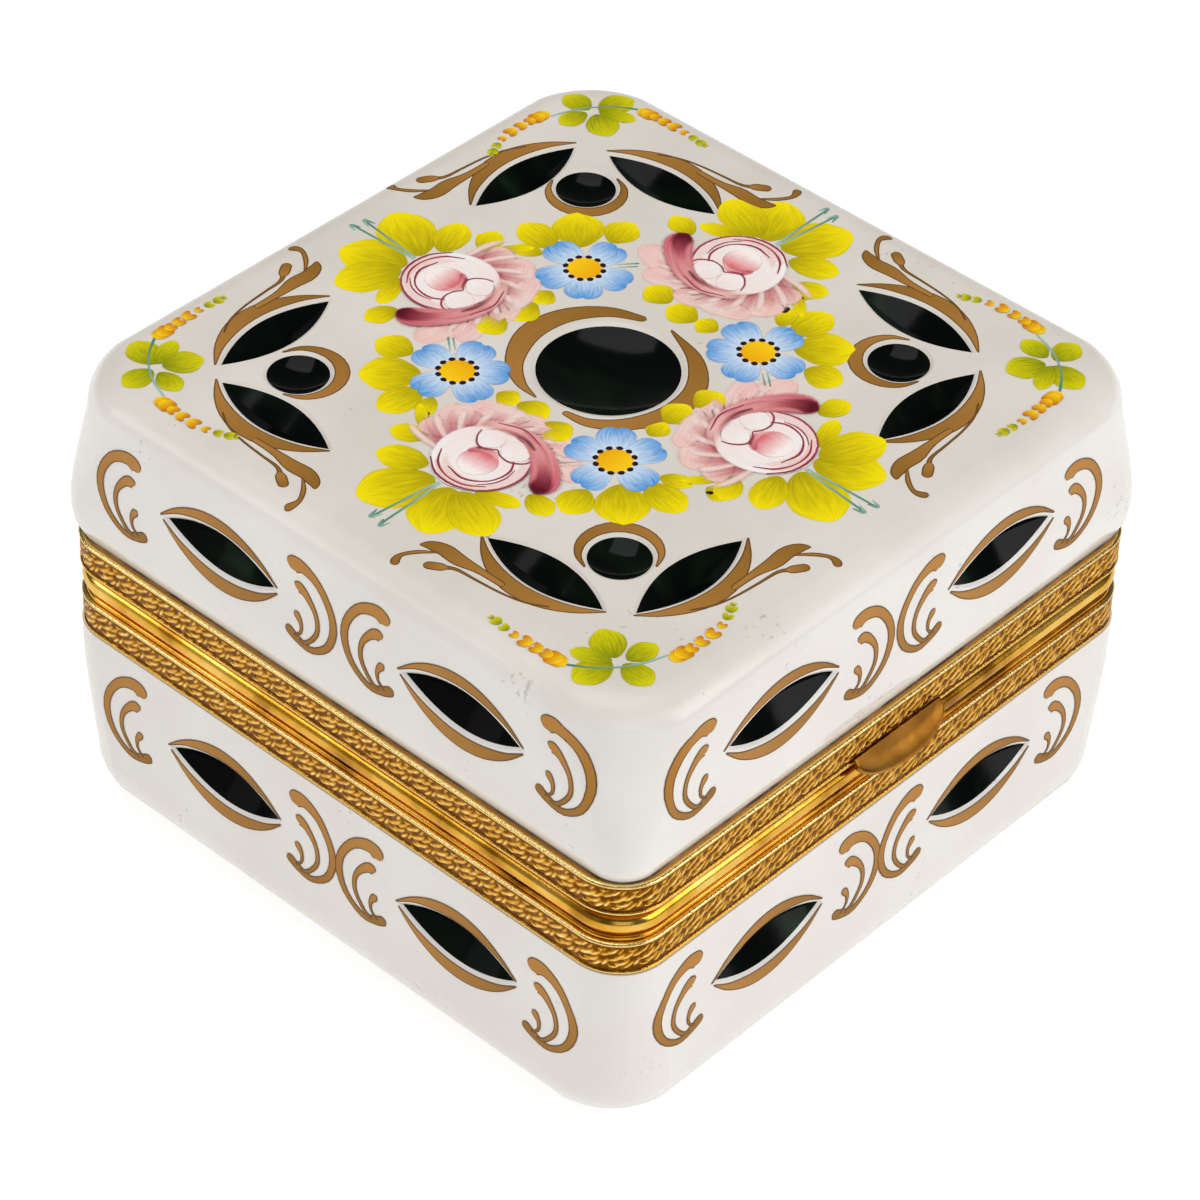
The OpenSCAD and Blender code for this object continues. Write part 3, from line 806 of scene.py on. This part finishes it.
def run_of(points, steps):
    """Smooth run through (x, y, width) points, close together near both tips."""
    first = [2 * a - b for a, b in zip(points[0], points[1])]
    last = [2 * a - b for a, b in zip(points[-1], points[-2])]
    ends = [first] + [list(p) for p in points] + [last]
    run = []
    for k in range(steps + 1):
        t = (1 - math.cos(math.pi * k / steps)) / 2 * (len(points) - 1)
        i = min(int(t), len(points) - 2)
        f, (a, b, c, d) = t - i, ends[i:i + 4]
        run.append([0.5 * (2 * q + (r - p) * f + (2 * p - 5 * q + 4 * r - s) * f * f
                           + (3 * q - p - 3 * r + s) * f ** 3) for p, q, r, s in zip(a, b, c, d)])
    return run


def stroke_rows(points, steps):
    """Along the stroke: place, sideways direction, half width with rounded tips, share of the way."""
    run = run_of(points, steps)
    gone = [0.0]
    for p, q in zip(run, run[1:]):
        gone.append(gone[-1] + math.dist(p[:2], q[:2]))
    rows = []
    for k, (x, y, wide) in enumerate(run):
        p, q = run[max(k - 1, 0)], run[min(k + 1, steps)]
        size = math.dist(p[:2], q[:2]) or 1
        half = max(wide, THINNEST) / 2
        tip = min(gone[k], gone[-1] - gone[k]) / half
        round_off = math.sqrt(max(1 - (1 - tip) ** 2, 0)) if tip < 1 else 1
        sideways = (-(q[1] - p[1]) / size, (q[0] - p[0]) / size)
        rows.append((x, y, *sideways, half * max(round_off, 0.12), gone[k] / gone[-1]))
    return rows


print("rows along a plain dab:", len(stroke_rows([(-1, 0, 2), (1, 0, 2)], 22)))

# %% Strokes become one painted piece
ACROSS = [  # from side to side, and height in mm; the last point is the underside
    (-1, 0.012), (-0.62, 0.017), (0, 0.018), (0.62, 0.017), (1, 0.012), (0, -0.03)]
LAYER = 0.007  # mm, from a stroke to the one painted over it


def crosses(a, b):
    """Whether two boxes (low x, high x, low y, high y) overlap."""
    return a[0] < b[1] and b[0] < a[1] and a[2] < b[3] and b[2] < a[3]


def painting(name, strokes, onto, body, steps=22):
    """One object from many strokes; onto turns a flat place and a height into a point on the glass."""
    bm = bmesh.new()
    flow = bm.verts.layers.float_vector.new("flow")
    colours, boxes = [], []
    for serial, (colour, points) in enumerate(strokes):
        rows = stroke_rows(points, steps)
        box = (min(r[0] - r[4] for r in rows), max(r[0] + r[4] for r in rows),
               min(r[1] - r[4] for r in rows), max(r[1] + r[4] for r in rows))
        layer = 1 + max([n for under, n in boxes if crosses(box, under)], default=-1)
        boxes.append((box, layer))
        if colour not in colours:
            colours.append(colour)
        fresh = bmesh.ops.create_grid(bm, x_segments=steps, y_segments=len(ACROSS), size=1)["verts"]
        for face in {f for v in fresh for f in v.link_faces}:
            face.material_index = colours.index(colour)
        for v in fresh:
            x, y, nx, ny, half, along = rows[round((v.co.x + 1) / 2 * steps)]
            side, high = ACROSS[round((v.co.y + 1) / 2 * len(ACROSS)) % len(ACROSS)]
            margin = half * (1 - abs(side)) if high > 0 else -1
            v.co = onto(x + nx * half * side, y + ny * half * side, high + (layer * LAYER if high > 0 else 0))
            v[flow] = (serial + 0.001 + 0.998 * along, (side + 1) / 2, margin)
        bmesh.ops.remove_doubles(bm, verts=fresh, dist=1e-7)
    bmesh.ops.holes_fill(bm, edges=[e for e in bm.edges if len(e.link_faces) == 1], sides=0)
    for face in bm.faces:
        if len(face.verts) > 4:
            face.material_index = max(f.material_index for e in face.edges for f in e.link_faces if f != face)
    piece = finish_piece(bm, name, body, *(PIGMENTS[c] for c in colours), sharp=50)
    print(name, "strokes", len(strokes), "faces", len(piece.data.polygons))


# %% Laying paint on the glass
def laid(surface, place_at, inward, over=0.0):
    """Looks along inward from a flat place until it meets the glass; over clears its round corners."""
    def onto(x, y, high):
        start = Vector(place_at(x, y)) * MM
        hit, normal, _, _ = surface.ray_cast(start, Vector(inward))
        if normal.dot(Vector(inward)) > 0:
            normal = -normal
        return hit + normal * (high + over if high > 0 else high) * MM
    return onto


on_top = laid(lid_surface, lambda x, y: (x, y, 100), (0, 0, -1))
near_edge = laid(lid_surface, lambda x, y: (x, y, 100), (0, 0, -1), 0.05)


def on_side(side, kind):
    """Looks at a side of the lid or base from 80 mm out."""
    along, out, _ = SIDES[side]
    surface = {"lid": lid_surface, "base": base_surface}[kind]

    def place_at(u, z):
        return Vector(along) * u + Vector(out) * 80 + Vector((0, 0, z))
    return laid(surface, place_at, -Vector(out), 0.07)


print("paint on the lid's middle lies at z", round(on_top(20, 0, 0.02).z / MM, 2), "mm")


# %% Strokes carried to their places
def moved(strokes, x=0, y=0, turn_deg=0, x_way=None, y_way=None):
    """Strokes turned and shifted, or carried onto two given directions."""
    c, s = math.cos(math.radians(turn_deg)), math.sin(math.radians(turn_deg))
    ax, ay = x_way or (c, s), y_way or (-s, c)
    return [(colour, [(x + px * ax[0] + py * ay[0], y + px * ax[1] + py * ay[1], wide)
                      for px, py, wide in points]) for colour, points in strokes]


def dab(colour, x, y, radius):
    """A round dot."""
    return (colour, [(x - radius, y, 2 * radius), (x + radius, y, 2 * radius)])


def bow(colour, x, y, radius, start, end, widths):
    """Part of a circle, in degrees, with the brush pressed as the widths say."""
    turns = [math.radians(start + (end - start) * i / (len(widths) - 1)) for i in range(len(widths))]
    return (colour, [(x + radius * math.cos(a), y + radius * math.sin(a), w) for a, w in zip(turns, widths)])


print("a turned stroke starts at", [round(x, 1) for x in moved([dab("gold", 0, 0, 1)], 5, 5, 90)[0][1][0]])

# %% Gold round the windows
LEAF_RIM = (13.9, 4.5)  # mm, half length and half width of a window in the white glass
SPOT_RIM = 5.95  # mm, radius of a round window with its clear margin


def crescent(start, end, peak, side, gap):
    """A gold crescent that follows the rim of a pointed window at a gap."""
    points = []
    for i in range(9):
        f = i / 8
        x = start + (end - start) * f
        rim_y = max(LEAF_RIM[1] * (1 - (x / LEAF_RIM[0]) ** 2), 0)
        thick = max(peak * math.sin(math.pi * f) ** 0.8, 0.35)
        points.append((x, side * (rim_y + gap + thick / 2 - (0.3 if f in (0, 1) else 0)), thick))
    return ("gold", points)


top_leaf = [
    crescent(-13.4, 13.2, 3.3, 1, 0.15),
    ("gold", [(2, 7.0, 1.2), (7.3, 7.0, 1.6), (11.4, 7.4, 2.8), (14.6, 7.2, 2.9), (17, 7.9, 2.2),
              (18.4, 9.0, .5)]),
    ("gold", [(-6.3, 5.7, .3), (-3.1, 7.5, .4), (1, 8.5, .45), (6, 9.0, .5), (10, 9.3, .7), (12, 10.4, 1.1)]),
    ("gold", [(11.2, 10.0, 1.0), (12.4, 10.7, 1.9), (14.6, 12.1, 1.8)]),
    ("gold", [(15, 8.4, .4), (17.2, 10.4, .9), (18.6, 12.6, .9), (18.5, 14.2, 1.5), (17.7, 15.2, 1.5)]),
]
AROUND = [  # way along each top leaf towards the middle of its side, and way out
    ((1, 0), (0, 1)), ((-1, 0), (0, 1)), ((1, 0), (0, -1)), ((-1, 0), (0, -1)),
    ((0, -1), (-1, 0)), ((0, -1), (1, 0)), ((0, 1), (-1, 0)), ((0, 1), (1, 0)),
]
strokes = []
for (x, y), (x_way, y_way) in zip(LEAVES_ALONG + LEAVES_ACROSS, AROUND):
    strokes += moved(top_leaf, x, y, x_way=x_way, y_way=y_way)
painting("lid_top_leaf_gilding", strokes, on_top, "lid")

centre = [
    ("gold", [(-14.0, 3.1, .4), (-12.9, 7.7, 2), (-9.2, 12.5, 3.3), (-2.1, 15.8, 4.4), (5.4, 14.9, 3.9),
              (11.3, 10.5, 2.8), (14.2, 4.5, 1.5)]),
    ("gold", [(-13.7, -2.6, 1.2), (-12.7, -7.7, 2.3), (-8.4, -12.4, 3.2), (-1.6, -15.1, 4.1),
              (5.9, -13.9, 3.8), (11.8, -8.5, 2.8), (15.0, -.3, .5)]),
]
painting("lid_centre_gilding", centre, on_top, "lid", steps=40)

strokes = []
for x, y in SPOTS:
    inward_deg = math.degrees(math.atan2(-y, -x))
    points = []
    for i, wide in enumerate([.4, 1.2, 1.9, 2.4, 2.6, 2.4, 1.9, 1.2, .4]):
        a, reach = math.radians(inward_deg - 115 + 230 * i / 8), SPOT_RIM + wide / 2
        points.append((x + reach * math.cos(a), y + reach * math.sin(a), wide))
    strokes.append(("gold", points))
painting("lid_spot_gilding", strokes, on_top, "lid", steps=30)

# %% Gold scrolls on the four sides
scroll = [
    ("gold", [(4.4, 6.5, 2.4), (3.4, 7.4, 3.3), (1.2, 7.8, 2.6), (-2.1, 6.1, 1.9), (-4.7, 2.2, 1.7),
              (-5.3, -1.9, 1.7), (-3.7, -6, 1.5), (-.1, -8.5, 1.4), (3.1, -7.8, 1.9), (5.5, -6.4, 2.1)]),
    ("gold", [(3.0, 2.9, 1.7), (2.3, 3.3, 2.4), (.6, 2.4, 1.7), (-1.4, -.5, 1.1), (-1.6, -4, 1),
              (.5, -7.2, .9), (2.5, -8, .6)]),
    ("gold", [(3.4, -2.2, 1.0), (2.8, -2.9, 1.5), (2, -4.4, .9), (2.2, -6.2, .6), (3.6, -7.4, .5)]),
]
SCROLLS = {  # middles of the scrolls, by face and row: opening right, left, right, left
    ("left", "lid"): [(-47.2, 74.8), (-3.6, 75.8), (9.5, 76.4), (51.4, 76.7)],
    ("left", "base"): [(-48.1, 25.5), (-4.0, 25.4), (8.1, 25.4), (50.2, 24.4)],
    ("front", "lid"): [(-50.7, 75.4), (-9.0, 75.1), (3.8, 75.7), (44.2, 74.6)],
    ("front", "base"): [(-51.0, 26.2), (-7.9, 26.1), (3.7, 26.1), (45.4, 26.4)],
}
for side in SIDES:
    for kind in ("lid", "base"):
        z = ROW_Z[kind]
        strokes = []
        for u in side_windows(side):
            pair = [crescent(-13.9, 13.3, 2.3, 1, 0.3), crescent(-13.3, 13.3, 2.9, -1, 0.3)]
            strokes += moved(pair, u, z)
        spots = SCROLLS.get((side, kind), [(-48.4, z), (-5.6, z), (5.6, z), (48.4, z)])
        for number, (u, mid) in enumerate(spots):
            strokes += moved(scroll, u, mid, x_way=(-1, 0) if number % 2 else (1, 0), y_way=(0, 1))
        painting(kind + "_" + side + "_gilding", strokes, on_side(side, kind), kind, steps=38)

# %% [markdown]
# ### Enamel flowers
# Country enamellers had a few stock flowers: a rose in washes of one red with a
# dark bud ring, small blue flowers with a yellow eye, fat yellow leaves. Enamel is
# ground glass in oil. Thin washes show the white beneath, and the second firing
# softens every edge, which the pigment recipe gives through its clear borders.

# %% Roses
def leaf(colour, x0, y0, x1, y1, wide):
    """One press of a full brush: narrow start, fat middle, blunt end."""
    way = [(0, .45), (.35, .95), (.7, 1.0), (1, .55)]
    return (colour, [(x0 + (x1 - x0) * f, y0 + (y1 - y0) * f, wide * w) for f, w in way])


def fan_line(i):
    """One of the fine lines that fan out under the rose: its outer tip, its bend, its root."""
    turn, far = math.radians(-170 + 7 * i), 15.2 - 1.8 * math.sin(math.pi * i / 25) + .9 * math.sin(2.3 * i)
    way = [(turn, far, .8), (turn + .16, far * .55 + 3.4, 1.9), (turn + .42, 7.2, 1.6)]
    return ("blush" if i % 3 == 1 else "veil",
            [(reach * math.cos(a), reach * math.sin(a), wide) for a, reach, wide in way])


rose = [
    leaf("leaf", -1.5, 9, -6.5, 20, 9.5), leaf("leaf", -3, 9, -14, 13.5, 8),
    leaf("leaf", -5, 7, -12.5, 4.5, 3.5), leaf("leaf", -11.5, 1.5, -17.5, 3, 4.6),
    leaf("leaf", 2, 9, 7.5, 21, 10), leaf("leaf", 5, 7.5, 13.5, 10.5, 6),
    leaf("leaf", 10, 2.5, 16, 5, 4.6), leaf("leaf", 12, 1.5, 17, -3, 2.2),
    ("teal", [(.45, 9.2, .5), (.2, 16, .6), (0, 23.7, .5)]),
    ("teal", [(.85, 9.2, .5), (1.6, 16, .6), (2.3, 23, .5)]),
    ("teal", [(-.9, 21.9, .3), (-.2, 23.6, .8), (.5, 22, .3)]),
    ("teal", [(1.5, 21.2, .3), (2.4, 23, .8), (3, 21, .3)]),
    ("blush", [(.45, -9.4, 3), (-8.6, -8.3, 6), (-15.5, -6.7, 5)]),
    ("blush", [(5, -9.4, 3), (-4.1, -10.4, 5.5), (-10.5, -12.4, 5)]),
    ("blush", [(5, -8.6, 3), (1.8, -11, 5.5), (-2.7, -13.3, 4.5)]),
    ("blush", [(4.4, -5.4, 3), (9.6, -1.9, 6), (13.2, 1.5, 5)]),
    ("blush", [(2.2, -8.2, 3), (8.4, -6.9, 6), (13.6, -3.5, 5)]),
    ("blush", [(-.5, -11.8, 2.5), (4.1, -11, 5), (10.9, -9, 4.5)]),
] + [fan_line(i) for i in range(26)] + [
    ("cream", [(0, 9.0, 15), (0, 0, 16.8), (0, -8.6, 15)]),
    bow("blush", 0, .4, 7.3, 250, 45, [1.4, 2.4, 2.2, 2.0, 2.2, 2.0, 1.0]),
    bow("blush", 0, .6, 5.6, 20, 130, [.8, 1.6, 1.8, 1.2, .6]),
    bow("wine", 0, .4, 8.2, 215, 40, [.3, .5, .45, .35, .55, .45, .3]),
    bow("wine", -.2, .6, 7.0, 140, 20, [.25, .45, .35, .45, .25]),
    bow("wine", -.2, .8, 5.5, 235, 60, [.25, .5, .35, .5, .25]),
    bow("wine", 0, 1.0, 6.3, 200, 130, [.2, .35, .3, .2]),
    ("bud", [(-.6, 5.0, 6.4), (-.2, 1.6, 7.0), (.3, -1.9, 6.4)]),
    ("rose", [(-2.9, -.3, .8), (-.9, -1.7, 1.6), (1.4, -1.5, 2.2), (3.1, .6, 1.2)]),
    ("plum", [(-1.2, -1.9, .5), (1.0, -2.0, 1.3), (2.6, -.9, 1.0)]),
    ("cream", [(-3, -1.9, 4.6), (-2.8, -4.6, 5.8), (-2.2, -7.2, 4.6)]),
    ("cream", [(2.4, -1.7, 4.2), (2.3, -4.2, 5.4), (1.8, -6.9, 4.4)]),
    ("wine", [(-6.3, -5.4, .3), (-5.9, -3.4, .4), (-4, -2.0, .4), (-1.8, -2.1, .35), (-.3, -3, .3)]),
    ("wine", [(-.3, -3, .3), (1, -1.8, .4), (2.9, -1.7, .4), (4.5, -3.3, .35), (5.1, -5, .25)]),
    ("rose", [(7.4, -3.4, 1.0), (5.2, -6.8, 2.6), (1, -8.7, 3.2), (-4.1, -8.2, 4.0), (-8.4, -5.4, 5.2),
              (-11.3, -2.3, 5.8), (-12.1, .9, 4.6)]),
    ("veil", [(-12.6, 3.4, .5), (-11.4, -2.8, 1.2), (-6.6, -7.6, 1.2), (0, -9.4, .8)]),
    ("veil", [(-10.0, 1.8, .5), (-9.4, -1.8, 1.0), (-5.6, -5.8, 1.0), (0, -7.8, .6)]),
    ("plum", [(-6.2, -6.6, 1.6), (-9.4, -4.2, 2.8), (-11.4, -1.6, 4.0), (-12.1, .9, 4.2)]),
    ("plum", [(5.6, -5.4, .8), (2.6, -7.2, 1.6), (-1.5, -7.9, 1.6), (-5, -6.9, 1.0)]),
    ("wine", [(-4.6, -8.6, .25), (0, -9.6, .4), (4.4, -8.0, .25)]),
]
ROSES = [(-1.4, 34.5, 0), (-31.4, -1.8, 90), (3.6, -31, 180), (36, 3.7, -90)]
for number, (x, y, turn_deg) in enumerate(ROSES, 1):
    painting("enamel_rose_" + str(number), moved(rose, x, y, turn_deg), on_top, "lid")

# %% Blue flowers with their leaves
flower = []
for a in (90, 12, -50, -112, 172):
    c, s = math.cos(math.radians(a)), math.sin(math.radians(a))
    for push, shade in ((-1.1, 0.9), (1.1, 1.0)):
        petal = ((1.9, 2.6), (4.2, 4.9), (6.6, 6.3 * shade), (8.6, 4.6 * shade))
        flower.append(("blue", [(c * r - s * push * w * .16, s * r + c * push * w * .16, w * .78)
                                for r, w in petal]))
flower.append(dab("yolk", 0, 0, 3.0))
for i in range(12):
    a = 2 * math.pi * i / 12
    flower.append(("umber", [(math.cos(a) * r, math.sin(a) * r, 1.3) for r in (2.75, 3.75)]))
cluster = [
    leaf("leaf", -4.6, 3.8, -11.9, 10.9, 9), leaf("leaf", -1.9, 8.5, -3.2, 15.4, 6.3),
    leaf("leaf", -7.6, .8, -16.4, 1.8, 6.3), leaf("leaf", -7.8, -2, -13, -4.2, 3.6),
    leaf("leaf", -14.9, -5.2, -19.5, -6, 4.4), leaf("leaf", .5, -8.6, .9, -13, 4.6),
    leaf("leaf", .9, -12.9, 1.3, -19, 5.8), leaf("leaf", .3, -19.4, -.6, -25.2, 5.8),
    ("umber", [(-11.0, -4.2, 1.0), (-12.8, -4.6, 1.4)]), ("umber", [(-15.6, -4.2, .5), (-16.6, -5.0, 1.2)]),
    ("teal", [(3.0, 4.6, .3), (5.6, 7.6, .5)]), ("teal", [(3.8, 4.2, .3), (6.0, 6.8, .4)]),
]
FLOWERS = [(-18, 17, 0), (17.4, 21.6, -90), (20.7, -14.5, 180), (-17, -17.2, 90)]
for number, (x, y, turn_deg) in enumerate(FLOWERS, 1):
    painting("enamel_flower_" + str(number), moved(cluster + flower, x, y, turn_deg), on_top, "lid")

# %% Corner sprigs
sprig = [
    leaf("moss", .9, .9, 2.3, 8.0, 5.6), leaf("moss", -.6, 0, -6.8, .3, 4.9),
    leaf("moss", 1, .8, 7.4, 3.2, 3.4), leaf("moss", 1.2, -.4, 7.4, -3.6, 5.8),
    leaf("moss", -.3, -1.2, -1.2, -7.0, 4.2),
    ("teal", [(-4, -6.4, .5), (-2.7, -2.7, .5), (-.9, .5, .45), (1.9, 3.6, .45), (5.5, 6.1, .6)]),
]
SPIKES = [
    [(6.4, 6.2), (11, 6.5), (16, 6.6), (21.6, 6.1)],
    [(-5.2, -6.7), (-5.6, -12), (-5.2, -17.5), (-3.0, -22.7)],
]
for spike in SPIKES:
    run = run_of([(x, y, 0) for x, y in spike], 60)[6:-4:6]
    for i, (x, y, _) in enumerate(run):
        (ax, ay, _), (bx, by, _) = run[max(i - 1, 0)], run[min(i + 1, len(run) - 1)]
        size = math.hypot(bx - ax, by - ay)
        fx, fy = (bx - ax) / size, (by - ay) / size
        big = 1.45 - 0.09 * i + 0.2 * math.sin(2.1 * i)
        for side in (-1, 1):
            sx, sy = -fy * side, fx * side
            seed = [(x + (sx * reach + fx * ahead) * big, y + (sy * reach + fy * ahead) * big, wide * big)
                    for reach, ahead, wide in ((.1, -.9, .5), (.35, -.1, 1.2), (.75, .9, .8))]
            sprig.append(("moss" if i > 5 else "ochre", seed))
SPRIGS = [(-52.3, 52.3, 0), (52.5, 52.5, -90), (53, -50.5, 180), (-52.5, -51, 90)]
for number, (x, y, turn_deg) in enumerate(SPRIGS, 1):
    painting("corner_sprig_" + str(number), moved(sprig, x, y, turn_deg), near_edge, "lid", steps=18)

# %% [markdown]
# ## Light and floor
# A product photographer lights white glass with large soft lamps and sets it on
# white paper. The world gives the even fill, two large lamps give the faces their
# difference in tone, and the floor is bright to the eye and to reflections, so that
# it stays white. It also glows faintly to the light it throws back, a painted glow
# that lights the base from below like a lamp.

# %% The world as even fill
bpy.context.scene.view_settings.view_transform = "Standard"
room = bpy.context.scene.world or bpy.data.worlds.new("studio")
bpy.context.scene.world = room
room.use_nodes = True
sky = room.node_tree.nodes["Background"]
seen = add(room, "LightPath").outputs
eye, glossy, through = seen["Is Camera Ray"], seen["Is Glossy Ray"], seen["Is Transmission Ray"]
white_for_eye = add(room, "Math", {"operation": "MAXIMUM"}, {0: eye, 1: through})
even = add(room, "Math", {"operation": "MULTIPLY_ADD"}, {0: glossy, 1: -0.24, 2: 0.34})
strength = add(room, "Math", {"operation": "MAXIMUM"}, {0: even, 1: white_for_eye})
fill(room, sky, {"Color": (0.99, 0.995, 1.0, 1), "Strength": strength})
print("world:", len(room.node_tree.nodes), "nodes")

# %% White paper floor
paper = bpy.data.materials.new("white_paper_floor")
paper.use_nodes = True
paper.node_tree.nodes.clear()
seen = add(paper, "LightPath").outputs
eye, glossy, through = seen["Is Camera Ray"], seen["Is Glossy Ray"], seen["Is Transmission Ray"]
eye_or_gloss = add(paper, "Math", {"operation": "MULTIPLY_ADD"}, {0: glossy, 1: 0.3, 2: eye})
shows = add(paper, "Math", {"operation": "MAXIMUM"}, {0: eye_or_gloss, 1: through})
matt = add(paper, "BsdfDiffuse", links={"Color": (0.80, 0.795, 0.785, 1)})
# Painted light: the floor glows at strength 0.31 to the light it throws back, which lights the box from
# below.
glow_onto_box = add(paper, "Emission", links={"Color": (1, 0.99, 0.975, 1), "Strength": 0.31})
under = add(paper, "AddShader", links={0: matt, 1: glow_onto_box})
faint = add(paper, "BsdfDiffuse", links={"Color": (0.30, 0.30, 0.30, 1)})
glow = add(paper, "Emission", links={"Color": (1, 1, 1, 1), "Strength": 0.80})
bright = add(paper, "AddShader", links={0: faint, 1: glow})
choose = add(paper, "MixShader", links={0: shows, 1: under, 2: bright})
add(paper, "OutputMaterial", links={"Surface": choose})
bm = bmesh.new()
bmesh.ops.create_grid(bm, x_segments=1, y_segments=1, size=4.0)
floor = finish_piece(bm, "paper_floor", None, paper)
print("floor material:", len(paper.node_tree.nodes), "nodes")

# %% Lamps
AIM = Vector((0, 0, 0.05))  # m, the middle of the box


def lamp(name, place, watts, size):
    """A square lamp, size in m, that points at the box."""
    light = bpy.data.lights.new(name, "AREA")
    light.energy, light.size, light.shape = watts, size, "SQUARE"
    thing = bpy.data.objects.new(name, light)
    thing.location = place
    thing.rotation_euler = (AIM - Vector(place)).to_track_quat("-Z", "Y").to_euler()
    bpy.context.scene.collection.objects.link(thing)


lamp("front_softbox", (0.45, -1.25, 0.75), 7.3, 0.9)
lamp("near_softbox", (-0.85, -0.95, 0.55), 1.1, 0.7)
lamp("left_softbox", (-1.3, 0.25, 0.5), 0.5, 0.9)
lamp("top_softbox", (-0.1, 0.2, 1.6), 11.0, 1.2)
lamp("low_left_softbox", (-1.1, 0.95, 0.28), 0.4, 0.5)
lamp("edge_softbox", (-0.8, 0.9, 0.87), 2.2, 0.5)
